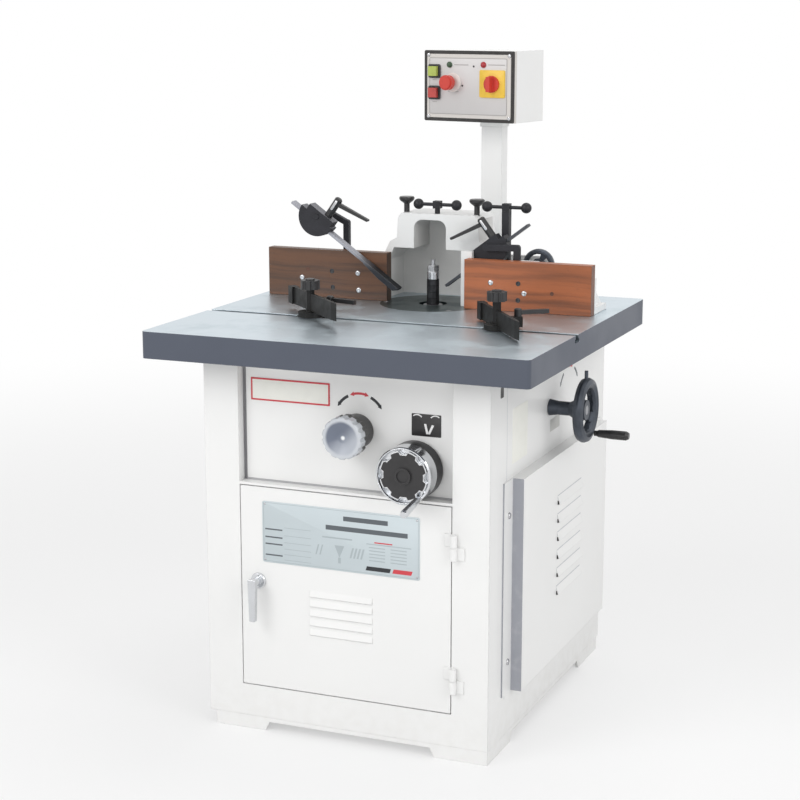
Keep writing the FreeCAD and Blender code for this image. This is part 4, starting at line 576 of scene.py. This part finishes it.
NODE_FINISH = {
    "white": ["plinth", "cabinet_shell", "cabinet_front", "door", "door_hinges", "control_post",
              "control_box"],
    "cover": ["side_cover"],
    "panel": ["control_panel"],
    "table": ["table"],
    "rings": ["insert_rings"],
    "hood": ["fence_hood", "left_carrier", "right_carrier"],
    "star": ["lock_knob"],
    "spacers": ["spacer_rings"],
    "steel": ["quill", "spindle_bearings", "spindle_shaft", "motor_rotor", "tension_screw", "front_shaft",
              "lead_screw"],
    "bar_steel": ["left_bar"],
    "dark_bar": ["right_bar"],
    "black_cast": ["left_post", "right_post"],
    "left_cast": ["left_holder"],
    "right_cast": ["right_holder"],
    "black_steel": ["hood_screw", "post_screw"],
    "leaf_steel": ["left_shoe", "right_shoe"],
    "wheel_black": ["side_wheel", "micro_wheel"],
    "lobed": ["wheel_lock_knob"],
    "black_plastic": ["side_handle", "clamp_knob_left", "clamp_knob_right", "left_lever", "right_lever",
                      "left_shoe_knob", "right_shoe_knob", "left_shoe_lever", "right_shoe_lever"],
    "red": ["emergency_knob", "main_switch"],
    "dull_red": ["stop_button"],
    "green": ["start_button"],
    "chrome": ["front_handle", "door_handle"],
    "drum": ["front_wheel"],
    "nickel": ["spindle_nut"],
    "shaded_left_wood": ["left_board"],
    "right_wood": ["right_board"],
    "casting": ["quill_housing", "motor_plate"],
    "motor": ["motor"],
    "aluminium": ["spindle_pulley"],
    "rubber": ["drive_belt"],
}
for finish_name, members in NODE_FINISH.items():
    for member in members:
        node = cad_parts[member]
        node.data.materials.clear()
        node.data.materials.append(FINISH[finish_name])


class Panel:
    """A flat face that small pieces sit on: the body it belongs to, a point, its right and its way up."""

    def __init__(self, body, corner, right, up):
        self.body = body
        right = Vector(right).normalized()
        up = Vector(up).normalized()
        self.matrix = Matrix((right, up, right.cross(up))).transposed().to_4x4()
        self.matrix.translation = corner

    def stand(self, x, y, out=0.0):
        """Where a piece stands on the face: to the right, up and out, in millimetres."""
        return self.matrix @ Matrix.Translation(Vector((x, y, out)) * MM)


def shape_of(name, mesh_data):
    """A mesh with smooth faces and its sharp edges kept."""
    mesh = bpy.data.meshes.new(name)
    mesh_data.normal_update()
    mesh_data.to_mesh(mesh)
    mesh_data.free()
    mesh.polygons.foreach_set("use_smooth", [True] * len(mesh.polygons))
    mesh.set_sharp_from_angle(angle=SHARP)
    return mesh


def fit(name, mesh_data, panel, finish, x=0, y=0, out=0, slot=None):
    """One small piece, made in its own millimetres, set on a panel and carried by its body."""
    bmesh.ops.scale(mesh_data, vec=(MM, MM, MM), verts=mesh_data.verts)
    piece = bpy.data.objects.new(name, shape_of(name, mesh_data))
    piece.data.materials.append(FINISH[finish])
    bpy.context.scene.collection.objects.link(piece)
    piece.matrix_world = panel.stand(x, y, out)
    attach(piece, panel.body)


def rounded(width, height, corner, steps=5):
    """A rectangle with round corners, centred."""
    points = []
    for quarter, (sx, sy) in enumerate(((1, 1), (-1, 1), (-1, -1), (1, -1))):
        for step in range(steps + 1):
            angle = math.radians(90 * (quarter + step / steps))
            points.append((sx * (width / 2 - corner) + corner * math.cos(angle),
                           sy * (height / 2 - corner) + corner * math.sin(angle)))
    return points


def oblong(left, right, low, high):
    """A rectangle by its four sides."""
    return [(left, low), (right, low), (right, high), (left, high)]


def on_circle(centre, radius, turn):
    """A point on a circle, anticlockwise from its right."""
    return (centre[0] + radius * math.cos(turn), centre[1] + radius * math.sin(turn))


def arc(centre, radius, width, start, end, steps=14):
    """A band along a circle, as an outline; angles in degrees, anticlockwise."""
    turns = [math.radians(start + (end - start) * i / steps) for i in range(steps + 1)]
    outer = [on_circle(centre, radius + width / 2, turn) for turn in turns]
    inner = [on_circle(centre, radius - width / 2, turn) for turn in reversed(turns)]
    return outer + inner


HEAD_LONG = 1.5
HEAD_WIDE = 0.8


def arrow_head(centre, radius, angle, size, way):
    """A small triangle on a circle, pointing along it; way is 1 for anticlockwise."""
    start = math.radians(angle)
    tip = start + way * size * HEAD_LONG / radius
    corners = ((radius + size * HEAD_WIDE, start), (radius, tip), (radius - size * HEAD_WIDE, start))
    points = [on_circle(centre, reach, turn) for reach, turn in corners]
    return points[::way]


def slab(outlines, thick, ease=0.0):
    """Flat pieces of one thickness, with their upper edges eased."""
    made = bmesh.new()
    for outline in outlines:
        base = [made.verts.new((x, y, 0)) for x, y in outline]
        top = [made.verts.new((x, y, thick)) for x, y in outline]
        count = len(outline)
        made.faces.new(base[::-1])
        made.faces.new(top)
        for i in range(count):
            made.faces.new((base[i], base[(i + 1) % count], top[(i + 1) % count], top[i]))
        if ease:
            rim = [made.edges.get((top[i], top[(i + 1) % count])) for i in range(count)]
            bmesh.ops.bevel(made, geom=rim, offset=ease, segments=2, profile=0.6, affect="EDGES")
    bmesh.ops.recalc_face_normals(made, faces=made.faces)
    return made


def ring_of(outer, inner, thick, ease=0.0):
    """A flat frame between two outlines with the same number of points."""
    made = bmesh.new()
    loops = []
    for outline, z in ((outer, 0), (outer, thick - ease), (outer, thick), (inner, thick), (inner, 0)):
        loops.append([made.verts.new((x, y, z)) for x, y in outline])
    if ease:
        for vert in loops[2]:
            vert.co.x -= math.copysign(ease, vert.co.x)
            vert.co.y -= math.copysign(ease, vert.co.y)
    count = len(outer)
    for first, second in zip(loops, loops[1:] + loops[:1]):
        for i in range(count):
            made.faces.new((first[i], first[(i + 1) % count], second[(i + 1) % count], second[i]))
    bmesh.ops.remove_doubles(made, verts=made.verts, dist=WELD)
    bmesh.ops.recalc_face_normals(made, faces=made.faces)
    return made


def lathe(rings, sides=32):
    """A turned piece along its own Z, by rings of (radius, height); a third number gives a ring corners."""
    made = bmesh.new()
    loops = []
    for ring in rings:
        radius, height = ring[:2]
        corners = ring[2] if len(ring) > 2 else 0
        loop = []
        for i in range(sides):
            angle = 2 * math.pi * i / sides
            reach = radius
            if corners:
                half = math.pi / corners
                reach = radius * math.cos(half) / math.cos((angle + half) % (2 * half) - half)
            loop.append(made.verts.new((reach * math.cos(angle), reach * math.sin(angle), height)))
        loops.append(loop)
    for lower, upper in zip(loops, loops[1:]):
        for i in range(sides):
            made.faces.new((lower[i], lower[(i + 1) % sides], upper[(i + 1) % sides], upper[i]))
    made.faces.new(loops[0][::-1])
    made.faces.new(loops[-1])
    bmesh.ops.recalc_face_normals(made, faces=made.faces)
    return made


def dome_screw(radius, height):
    """A pan head with a socket."""
    socket = radius * 0.42
    dome = [(radius, 0), (radius * 0.98, height * 0.35), (radius * 0.8, height * 0.8), (radius * 0.5, height)]
    return lathe(dome + [(socket, height, 4), (socket * 0.8, height * 0.45, 4)], 24)


def lipped_disc(radius):
    """The mouth of a hole or the head of a plug: a thin disc with a raised lip."""
    return lathe([(radius, 0), (radius, 0.25), (radius * 0.92, 0.35), (radius * 0.9, 0.3)], 24)


CORNERS = ((-1, -1), (1, -1), (1, 1), (-1, 1))
ACROSS = (1, 0, 0)
REARWARD = (0, 1, 0)
UP = (0, 0, 1)

DOOR_FRONT = -335
RECESS_BACK = -311
SIDE_OUT = 320
FLANGE_OUT = 323
REAR_OUT = 456
LEFT_BOARD_FRONT = 150
RIGHT_BOARD_FRONT = 120
LEFT_HUB_AT = (-267, 132, 1060)
RIGHT_HUB_AT = (133, 173, 1005)
POST_AT = (48, 434, 0)
BOX_TURN = math.radians(-10.3)
BOX_REACH = 105
LOUVRES = 6
LOUVRE_LOW = 262
LOUVRE_STEP = 41
LOUVRE_FRONT = 28
LOUVRE_REAR = 200
LOUVRE_TALL = 20
FOLD_SHADE_WIDE = 2.2

LEFT_ALONG = (LEFT_UP[2], 0, -LEFT_UP[0])
RIGHT_ALONG = (RIGHT_UP[2], 0, -RIGHT_UP[0])
BOX_RIGHT = Vector((math.cos(BOX_TURN), math.sin(BOX_TURN), 0))
BOX_BACK = Vector((-math.sin(BOX_TURN), math.cos(BOX_TURN), 0))
BOX_FRONT = spot(*POST_AT) - BOX_BACK * BOX_REACH * MM

DOOR_FACE = Panel("door", spot(0, DOOR_FRONT, 0), ACROSS, UP)
RECESS_FACE = Panel("cabinet", spot(0, RECESS_BACK, 0), ACROSS, UP)
SIDE_FACE = Panel("cabinet", spot(SIDE_OUT, 0, 0), REARWARD, UP)
COVER_FACE = Panel("cabinet", spot(COVER_OUT, 0, 0), REARWARD, UP)
FLANGE_FACE = Panel("cabinet", spot(FLANGE_OUT, 0, 0), REARWARD, UP)
LOUVRE_END = Panel("cabinet", spot(COVER_OUT, LOUVRE_FRONT, 0), ACROSS, UP)
REAR_FACE = Panel("cabinet", spot(0, REAR_OUT, 0), (-1, 0, 0), UP)
LEFT_HUB = Panel("left_lever", spot(*LEFT_HUB_AT), LEFT_ALONG, LEFT_UP)
RIGHT_HUB = Panel("right_lever", spot(*RIGHT_HUB_AT), RIGHT_ALONG, RIGHT_UP)
LEFT_BOARD_FACE = Panel("left_board", spot(0, LEFT_BOARD_FRONT, 0), ACROSS, UP)
RIGHT_BOARD_FACE = Panel("right_board", spot(0, RIGHT_BOARD_FRONT, 0), ACROSS, UP)
TABLE_FACE = Panel("cabinet", spot(0, 0, TABLE_TOP), ACROSS, REARWARD)
CONTROL_FACE = Panel("control_box", BOX_FRONT, BOX_RIGHT, UP)

INK = 0.15
FINE_INK = 0.12
SIGN_INK = 0.25
THIN_PLATE = 0.8
LABEL_THICK = 0.5
LABEL_EASE = 0.1
SCREW_RADIUS = 7
SCREW_TALL = 4

DATA_LEFT = -187
DATA_RIGHT = 170
DATA_LOW = 380
DATA_HIGH = 513
DATA_THICK = 1.2
DATA_INSET = 5
DATA_BORDER = 1
RIVET_INSET = 6
BAR_ROWS = (5, -12, -27, -51)
RULE_ROWS = (12, -5, -20, -34, -46, -58)
PRINT_LEFT = 66
PRINT_LOW = -9
PRINT_TALL = 2
PRINT_STEP = 48
PRINT_WIDE = 36
PRINT_ROW = 7
HATCH_LOW = -36
HATCH_HIGH = -14
HATCH_LEAN = 6
SIGN_LOW = -58
SIGN_HIGH = -49
SIGN_LEAN = 3


def leaning(left, right, low, high, lean):
    """A bar whose upper edge lies further to the right than its foot."""
    return [(left, low), (right, low), (right + lean, high), (left + lean, high)]


def hatching(left, wide, step, count):
    """A row of leaning strokes on the data plate."""
    strokes = []
    for i in range(count):
        start = left + step * i
        strokes.append(leaning(start, start + wide, HATCH_LOW, HATCH_HIGH, HATCH_LEAN))
    return strokes


def door_plate():
    """The data plate on the door: a brushed sheet with plain bars, rules and hatching, on four rivets."""
    x, y = (DATA_LEFT + DATA_RIGHT) / 2, (DATA_LOW + DATA_HIGH) / 2
    wide, tall = DATA_RIGHT - DATA_LEFT, DATA_HIGH - DATA_LOW

    def print_on(name, outlines, finish, thick=INK):
        fit(name, slab(outlines, thick), DOOR_FACE, finish, x, y, DATA_THICK)

    plate = slab([rounded(wide, tall, 4)], DATA_THICK, 0.4)
    fit("door_plate", plate, DOOR_FACE, "silver_plate", x, y, slot="aluminium")
    inset = DATA_INSET + 2 * DATA_BORDER
    outer = rounded(wide - DATA_INSET, tall - DATA_INSET, 3)
    border = ring_of(outer, rounded(wide - inset, tall - inset, 2.4), INK)
    fit("door_plate_border", border, DOOR_FACE, "ink_grey", x, y, DATA_THICK)
    bars = [oblong(8, 108, 42, 52), oblong(-32, 152, 20, 30)]
    bars += [oblong(-172, -132, z, z + 3) for z in BAR_ROWS]
    print_on("door_plate_bars", bars, "ink_slate")
    print_on("door_plate_black", [leaning(58, 112, SIGN_LOW, SIGN_HIGH, SIGN_LEAN)], "ink_black")
    rules = [oblong(-128, -66, z, z + 1) for z in RULE_ROWS]
    rules += [oblong(-40, 28, 2, 5), oblong(60, 160, -2, 0)]
    for column in range(2):
        left = PRINT_LEFT + PRINT_STEP * column
        for row in range(5):
            low = PRINT_LOW - PRINT_ROW * row
            rules.append(oblong(left, left + PRINT_WIDE, low, low + PRINT_TALL))
    rules += hatching(-56, 3, 9, 2)
    rules += [[(-12, -12), (10, -12), (-1, -38)], oblong(-4, 2, -50, -38)]
    rules += hatching(22, 4, 8, 4)
    print_on("door_plate_rules", rules, "ink_grey", FINE_INK)
    red = [leaning(118, 160, SIGN_LOW, SIGN_HIGH, SIGN_LEAN), oblong(78, 118, 2, 4.5)]
    print_on("door_plate_red", red, "ink_red")
    for i, (sx, sy) in enumerate(CORNERS):
        rivet = lathe([(2.2, 0), (2.0, 0.5), (1.2, 0.9), (0.4, 1.0)], 16)
        rivet_x, rivet_y = x + sx * (wide / 2 - RIVET_INSET), y + sy * (tall / 2 - RIVET_INSET)
        fit("door_plate_rivet_%d" % i, rivet, DOOR_FACE, "nickel", rivet_x, rivet_y, DATA_THICK)


ARROW_WIDE = 6


def turn_arrows(centre, radius, low, high, span):
    """Two bent arrows on a circle, one to each side, each a band of span degrees with its head."""
    arrows = [arc(centre, radius, ARROW_WIDE, low, low + span)]
    arrows.append(arc(centre, radius, ARROW_WIDE, high - span, high))
    arrows.append(arrow_head(centre, radius, low, ARROW_WIDE, -1))
    arrows.append(arrow_head(centre, radius, high, ARROW_WIDE, 1))
    return arrows


NAME_AT = (-130.5, 747)
NAME_WIDE = 181
NAME_TALL = 48
NAME_FRAME = 3.5
KNOB_MARKS_AT = (27, 697.5)
KNOB_MARKS_RADIUS = 56.5
RED_RADIUS = 57.5
RED_FROM = 78
RED_TO = 103
RECESS_HALF = 239.8
RECESS_LOW = 550.2
RECESS_HIGH = 799.8
SHADOW_RIGHT = -233
FOOT_LEFT = -232.8
FOOT_HIGH = 554
POINTER_AT = (174, 701)
POINTER_ARC = 13


def recess_signs():
    """On the sunk panel: a bare framed plate, the turning arrows, grey strips of painted shadow along its
    left and lower edges, and the pointer plate.
    """
    plate = slab([rounded(NAME_WIDE, NAME_TALL, 1)], THIN_PLATE, 0.2)
    fit("name_plate", plate, RECESS_FACE, "label", *NAME_AT)
    inner = rounded(NAME_WIDE - 2 * NAME_FRAME, NAME_TALL - 2 * NAME_FRAME, 0.6)
    edge = ring_of(rounded(NAME_WIDE, NAME_TALL, 1), inner, 1.0)
    fit("name_plate_frame", edge, RECESS_FACE, "ink_red", *NAME_AT)
    black = turn_arrows(KNOB_MARKS_AT, KNOB_MARKS_RADIUS, 39, 142, 25)
    fit("turn_arrows", slab(black, SIGN_INK), RECESS_FACE, "ink_black")
    red = [arc(KNOB_MARKS_AT, RED_RADIUS, 5, RED_FROM, RED_TO)]
    red.append(arrow_head(KNOB_MARKS_AT, RED_RADIUS, RED_FROM, ARROW_WIDE, -1))
    red.append(arrow_head(KNOB_MARKS_AT, RED_RADIUS, RED_TO, ARROW_WIDE, 1))
    fit("turn_arrows_red", slab(red, SIGN_INK), RECESS_FACE, "ink_red")
    # Painted shadow: grey strips standing in for the shadow in the gap at the panel's left and lower edges.
    left_shadow = slab([oblong(-RECESS_HALF, SHADOW_RIGHT, RECESS_LOW, RECESS_HIGH)], THIN_PLATE)
    fit("recess_side_shadow", left_shadow, RECESS_FACE, "side_shadow")
    foot_shadow = slab([oblong(FOOT_LEFT, RECESS_HALF, RECESS_LOW, FOOT_HIGH)], THIN_PLATE)
    fit("recess_foot_shadow", foot_shadow, RECESS_FACE, "foot_shadow")
    pointer = slab([rounded(64, 46, 1.5)], THIN_PLATE, 0.2)
    fit("pointer_plate", pointer, RECESS_FACE, "black_plastic", *POINTER_AT)
    marks = [[(0, -18), (5, -18), (0, 3), (-5, 3)], [(3, -18), (8, -18), (17, 1), (12, 2)]]
    marks += [arc((-20, 8), POINTER_ARC, 2.4, 40, 130, 8), arc((20, 8), POINTER_ARC, 2.4, 50, 140, 8)]
    fit("pointer_marks", slab(marks, 0.2), RECESS_FACE, "ink_white", *POINTER_AT, THIN_PLATE)


COVER_SCREWS = ((-226, 506), (-226, 190), (412, 506), (412, 190))
SIDE_MARKS_AT = (180, 672)
SIDE_MARKS_RADIUS = 75


def side_fittings():
    """On the right side: blank labels, screws, arrows, a sheet joint, and painted shade on the louvres: a
    grey strip along each fold, a dark sheet in each mouth.
    """
    label = slab([rounded(95, 116, 3)], LABEL_THICK, LABEL_EASE)
    fit("side_label", label, SIDE_FACE, "label", -154, 667)
    small_label = slab([rounded(66, 27, 2)], LABEL_THICK, LABEL_EASE)
    fit("side_label_small", small_label, SIDE_FACE, "dull_label", 82, 637)
    for i, (y, z) in enumerate(COVER_SCREWS):
        fit("cover_screw_%d" % i, dome_screw(SCREW_RADIUS, SCREW_TALL), FLANGE_FACE, "nickel", y, z)
    arrows = turn_arrows(SIDE_MARKS_AT, SIDE_MARKS_RADIUS, 38, 142, 20)
    fit("side_arrows", slab(arrows, SIGN_INK), SIDE_FACE, "ink_slate")
    red = arc(SIDE_MARKS_AT, SIDE_MARKS_RADIUS, ARROW_WIDE, 72, 92)
    fit("side_arrows_red", slab([red], SIGN_INK), SIDE_FACE, "ink_red")
    # Painted shade: a dark sheet where the slot under the table opens.
    fit("side_slot_shade", slab([rounded(18, 22, 2)], 0.4), SIDE_FACE, "black_plastic", -268, 772)
    fit("side_joint", slab([oblong(-235.6, -234.4, 110, 800)], 0.3), SIDE_FACE, "joint_and_fold_shade")
    mouths = []
    fold_shades = []
    for i in range(LOUVRES):
        foot = LOUVRE_LOW + LOUVRE_STEP * i
        top = foot + LOUVRE_TALL
        # Painted shade: a dark sheet in each louvre's mouth, where the opening lies in shade.
        mouths.append([(0.1, foot + 1), (4.4, foot + 2.2), (2.2, foot + 10), (0.1, foot + 10)])
        # Painted shade: a grey strip along each louvre's upper fold.
        fold_shades.append(oblong(LOUVRE_FRONT, LOUVRE_REAR, top, top + FOLD_SHADE_WIDE))
    fit("louvre_mouth_shades", slab(mouths, SIGN_INK), LOUVRE_END, "black_plastic")
    fit("louvre_fold_shades", slab(fold_shades, SIGN_INK), COVER_FACE, "joint_and_fold_shade")


REAR_SCREWS = ((-290, 770), (290, 770), (-290, 140), (290, 140), (-290, 455), (290, 455))
REAR_LOUVRES = 5
REAR_LOUVRE_LOW = 230
REAR_LOUVRE_STEP = 34
REAR_MOUTH_DOWN = 10


def rear_fittings():
    """On the rear wall: its screws, a row of louvres with a dark sheet of painted shade in each mouth, a
    blank label and a cable gland.
    """
    for i, (x, z) in enumerate(REAR_SCREWS):
        fit("rear_screw_%d" % i, dome_screw(SCREW_RADIUS, SCREW_TALL), REAR_FACE, "nickel", -x, z)
    for i in range(REAR_LOUVRES):
        height = REAR_LOUVRE_LOW + REAR_LOUVRE_STEP * i
        hood = slab([rounded(170, 16, 6)], 5, 3.5)
        fit("rear_louvre_%d" % i, hood, REAR_FACE, "white", 0, height)
        # Painted shade: a dark sheet under each louvre, where its opening lies in shade.
        mouth = slab([rounded(150, 3, 1.4)], 0.3)
        fit("rear_louvre_mouth_%d" % i, mouth, REAR_FACE, "black_plastic", 0, height - REAR_MOUTH_DOWN)
    label = slab([rounded(110, 70, 3)], LABEL_THICK, LABEL_EASE)
    fit("rear_label", label, REAR_FACE, "label", -150, 640)
    gland = lathe([(15, 0, 6), (15, 6, 6), (11, 7), (11, 16), (8, 20), (5, 20), (5, 10)], 36)
    fit("rear_gland", gland, REAR_FACE, "black_plastic", -230, 470)


BOX_MIDDLE = (-10, 1348.5)
SHEET_SHIFT = 1.6
SHEET_WIDE = 206
SHEET_TALL = 128
SHEET_THICK = 0.6
SHEET_BORDER = 1.3
BUTTON_X = -100
START_Z = 1382
STOP_Z = 1333
EMERGENCY_AT = (-52, 1357)
SWITCH_AT = (54, 1355.5)
READY_AT = (-60, 1397)
FAULT_AT = (30, 1398)
PINS_AT = ((-26, 1350), (4, 1394))
BOX_SCREW_X = 107
BOX_SCREW_Z = 70
GASKET_SINK = 4


def control_fittings():
    """On the control box: the sheet, lamps, surrounds, the yellow plate, corner screws and the gasket."""
    middle_x, middle_z = BOX_MIDDLE
    sheet_x = middle_x - SHEET_SHIFT
    sheet = slab([rounded(SHEET_WIDE, SHEET_TALL, 3)], SHEET_THICK, 0.2)
    fit("control_sheet", sheet, CONTROL_FACE, "face_sheet", sheet_x, middle_z)
    inner = rounded(SHEET_WIDE - 2 * SHEET_BORDER, SHEET_TALL - 2 * SHEET_BORDER, 2.4)
    border = ring_of(rounded(SHEET_WIDE, SHEET_TALL, 3), inner, 0.8)
    fit("control_sheet_border", border, CONTROL_FACE, "sheet_line", sheet_x, middle_z)
    bars = [oblong(-48, -10, 1396, 1398), oblong(42, 86, 1397, 1399), oblong(-64, -36, 1335.5, 1337)]
    bars += [oblong(-106, -94, z, z + 1.6) for z in (1361, 1311)]
    fit("control_sheet_bars", slab(bars, FINE_INK), CONTROL_FACE, "sheet_line", 0, 0, SHEET_THICK)
    for name, z in (("start_surround", START_Z), ("stop_surround", STOP_Z)):
        surround = ring_of(rounded(31, 31, 4), rounded(23, 23, 1.5), 5, 1)
        fit(name, surround, CONTROL_FACE, "black_plastic", BUTTON_X, z, SHEET_THICK)
    collar = lathe([(22, 0), (22, 1.2), (21, 1.6), (12, 1.6)], 48)
    fit("emergency_ring", collar, CONTROL_FACE, "pale_ring", *EMERGENCY_AT, SHEET_THICK)
    yellow = slab([rounded(66, 62, 3)], 3, 1)
    fit("switch_plate", yellow, CONTROL_FACE, "yellow", *SWITCH_AT, SHEET_THICK)
    for name, finish, place in (("ready_lamp", "lamp_green", READY_AT), ("fault_lamp", "lamp_red", FAULT_AT)):
        lens = lathe([(7, 0), (7, 2), (6, 3), (5.4, 3), (5, 5), (3.4, 6.4), (1, 7)], 24)
        fit(name, lens, CONTROL_FACE, finish, *place, SHEET_THICK)
    for i, place in enumerate(PINS_AT):
        pin = lathe([(2.4, 0), (2.2, 0.8), (1.2, 1.2)], 12)
        fit("control_pin_%d" % i, pin, CONTROL_FACE, "black_plastic", *place, SHEET_THICK)
    for i, (sx, sz) in enumerate(CORNERS):
        screw_x, screw_z = middle_x + sx * BOX_SCREW_X, middle_z + sz * BOX_SCREW_Z
        fit("control_screw_%d" % i, dome_screw(4.5, 2.4), CONTROL_FACE, "nickel", screw_x, screw_z)
    gasket = ring_of(rounded(238, 161, 4), rounded(222.2, 145.2, 2), 3)
    fit("control_gasket", gasket, CONTROL_FACE, "gasket", middle_x, middle_z, -GASKET_SINK)


BOARD_HEADS = {"left": [(-179, 931), (-177, 892), (-320, 914)], "right": [(154, 932), (232, 912)]}
BOARD_HOLES = {"left": [(-244, 932), (-242, 895)], "right": [(218, 933), (218, 896)]}
BOARD_PLUGS = {"left": (-305, 934), "right": (296, 915)}


def fence_fittings():
    """Screw heads, holes shown as black discs of painted shade, and plugs in the fence boards."""
    for side, panel in (("left", LEFT_BOARD_FACE), ("right", RIGHT_BOARD_FACE)):
        for i, place in enumerate(BOARD_HEADS[side]):
            fit("%s_board_screw_%d" % (side, i), dome_screw(6, 2.2), panel, "nickel", *place)
        for i, place in enumerate(BOARD_HOLES[side]):
            # Painted shade: a black disc for the shade inside each hole.
            fit("%s_board_hole_shade_%d" % (side, i), lipped_disc(5.5), panel, "black_plastic", *place)
        fit("%s_board_plug" % side, lipped_disc(4.5), panel, "plug", *BOARD_PLUGS[side])


RING_SCREWS = 3
RING_SCREW_FROM = 70
RING_SCREW_RADIUS = 108


def ring_fittings():
    """Countersunk screws in the outer insert ring."""
    for i in range(RING_SCREWS):
        angle = math.radians(RING_SCREW_FROM + 360 / RING_SCREWS * i)
        x, y = RING_SCREW_RADIUS * math.cos(angle), SPINDLE_Y + RING_SCREW_RADIUS * math.sin(angle)
        head = lathe([(6, -0.6), (6, 0.1), (5.4, 0.3), (2.6, 0.3, 6), (2.4, -0.4, 6)], 24)
        fit("ring_screw_%d" % i, head, TABLE_FACE, "steel", x, y)


LEVER_AT = 18
INSET_UP = 46
INSET_SINK = 0.7
HUB_RADIUS = 9


def lever_fittings():
    """The bright inset let into the hub of each ratchet lever: partly a silver core, partly a painted
    highlight along the hub's front.
    """
    for side, panel in (("left", LEFT_HUB), ("right", RIGHT_HUB)):
        # Partly painted highlight: a bright strip on the hub's front, partly the lever's own silver core.
        inset = slab([rounded(6, 26, 2.9)], 1.2, 0.4)
        fit("%s_lever_inset_and_highlight" % side, inset, panel, "nickel", LEVER_AT, INSET_UP, HUB_RADIUS - INSET_SINK)


door_plate()
recess_signs()
side_fittings()
rear_fittings()
lever_fittings()
control_fittings()
fence_fittings()
ring_fittings()


CLEAR_WHITE = (1, 1, 1, 1)
SEES_WHITE = ("Camera", "Glossy", "Transmission")
SKY_LIGHT = 0.56
FLOOR_HALF = 60
FADE_FROM = 1.2
FADE_TO = 4.5

# Each soft lamp: its name, where it hangs and what it aims at in metres, its side in metres, its watts.
LAMPS = (
    ("key", (-2.2, -3.6, 3.4), (0, 0, 0.7), 2.6, 76),
    ("fill", (3.4, -1.6, 2.4), (0, 0, 0.7), 2.2, 44),
    ("front", (0.2, -4.2, 1.5), (0, 0.2, 0.95), 1.8, 15),
    ("top", (0.4, 1.2, 4.2), (0, 0, 0.9), 2.4, 36),
)


def pale_floor():
    """A floor that keeps the shadow and fades to white further out."""
    floor_mesh = bmesh.new()
    bmesh.ops.create_grid(floor_mesh, x_segments=1, y_segments=1, size=FLOOR_HALF)
    floor = bpy.data.objects.new("floor", shape_of("floor", floor_mesh))
    bpy.context.scene.collection.objects.link(floor)
    f = Finish("pale_floor", Roughness=0.9, Base_Color=shade(238, 238, 238))
    away = f.node("VectorMath", {"operation": "LENGTH"}, f.place, out="Value")
    far = f.between(away, FADE_FROM, FADE_TO)
    glow = f.node("Emission", None, CLEAR_WHITE, 1.0)
    white = f.seen(*SEES_WHITE) * (0.5 + far * 0.5)
    f.close(f.node("MixShader", None, white, Wire(f, f.shader.outputs[0]), glow))
    floor.data.materials.append(f.material)


def even_sky():
    """An even light from all round, seen as plain white."""
    sky = Sky("studio")
    even = sky.node("Background", None, CLEAR_WHITE, SKY_LIGHT)
    white = sky.node("Background", None, CLEAR_WHITE, 1.0)
    sky.close(sky.node("MixShader", None, sky.seen(*SEES_WHITE), even, white), "World Output")


def soft_lamps():
    """Square studio lamps, each aimed at the machine."""
    for name, place, aim, size, power in LAMPS:
        light = bpy.data.lights.new(name, "AREA")
        light.energy = power
        light.shape = "SQUARE"
        light.size = size
        lamp = bpy.data.objects.new(name, light)
        lamp.location = place
        lamp.rotation_euler = (Vector(aim) - Vector(place)).to_track_quat("-Z", "Y").to_euler()
        bpy.context.scene.collection.objects.link(lamp)


CAMERA_AT = (1530.5, -3729, 1535)
CAMERA_TILT = math.radians(78)
CAMERA_TURN = math.radians(22.48)
CAMERA_LENS = 84.0
CAMERA_SENSOR = 36.0


def view_from():
    """The photograph's standpoint."""
    lens = bpy.data.cameras.new("camera")
    lens.lens = CAMERA_LENS
    lens.sensor_width = CAMERA_SENSOR
    camera = bpy.data.objects.new("camera", lens)
    camera.location = spot(*CAMERA_AT)
    camera.rotation_euler = (CAMERA_TILT, 0, CAMERA_TURN)
    bpy.context.scene.collection.objects.link(camera)
    bpy.context.scene.camera = camera


pale_floor()
even_sky()
soft_lamps()
view_from()
bpy.context.scene.view_settings.view_transform = "Standard"
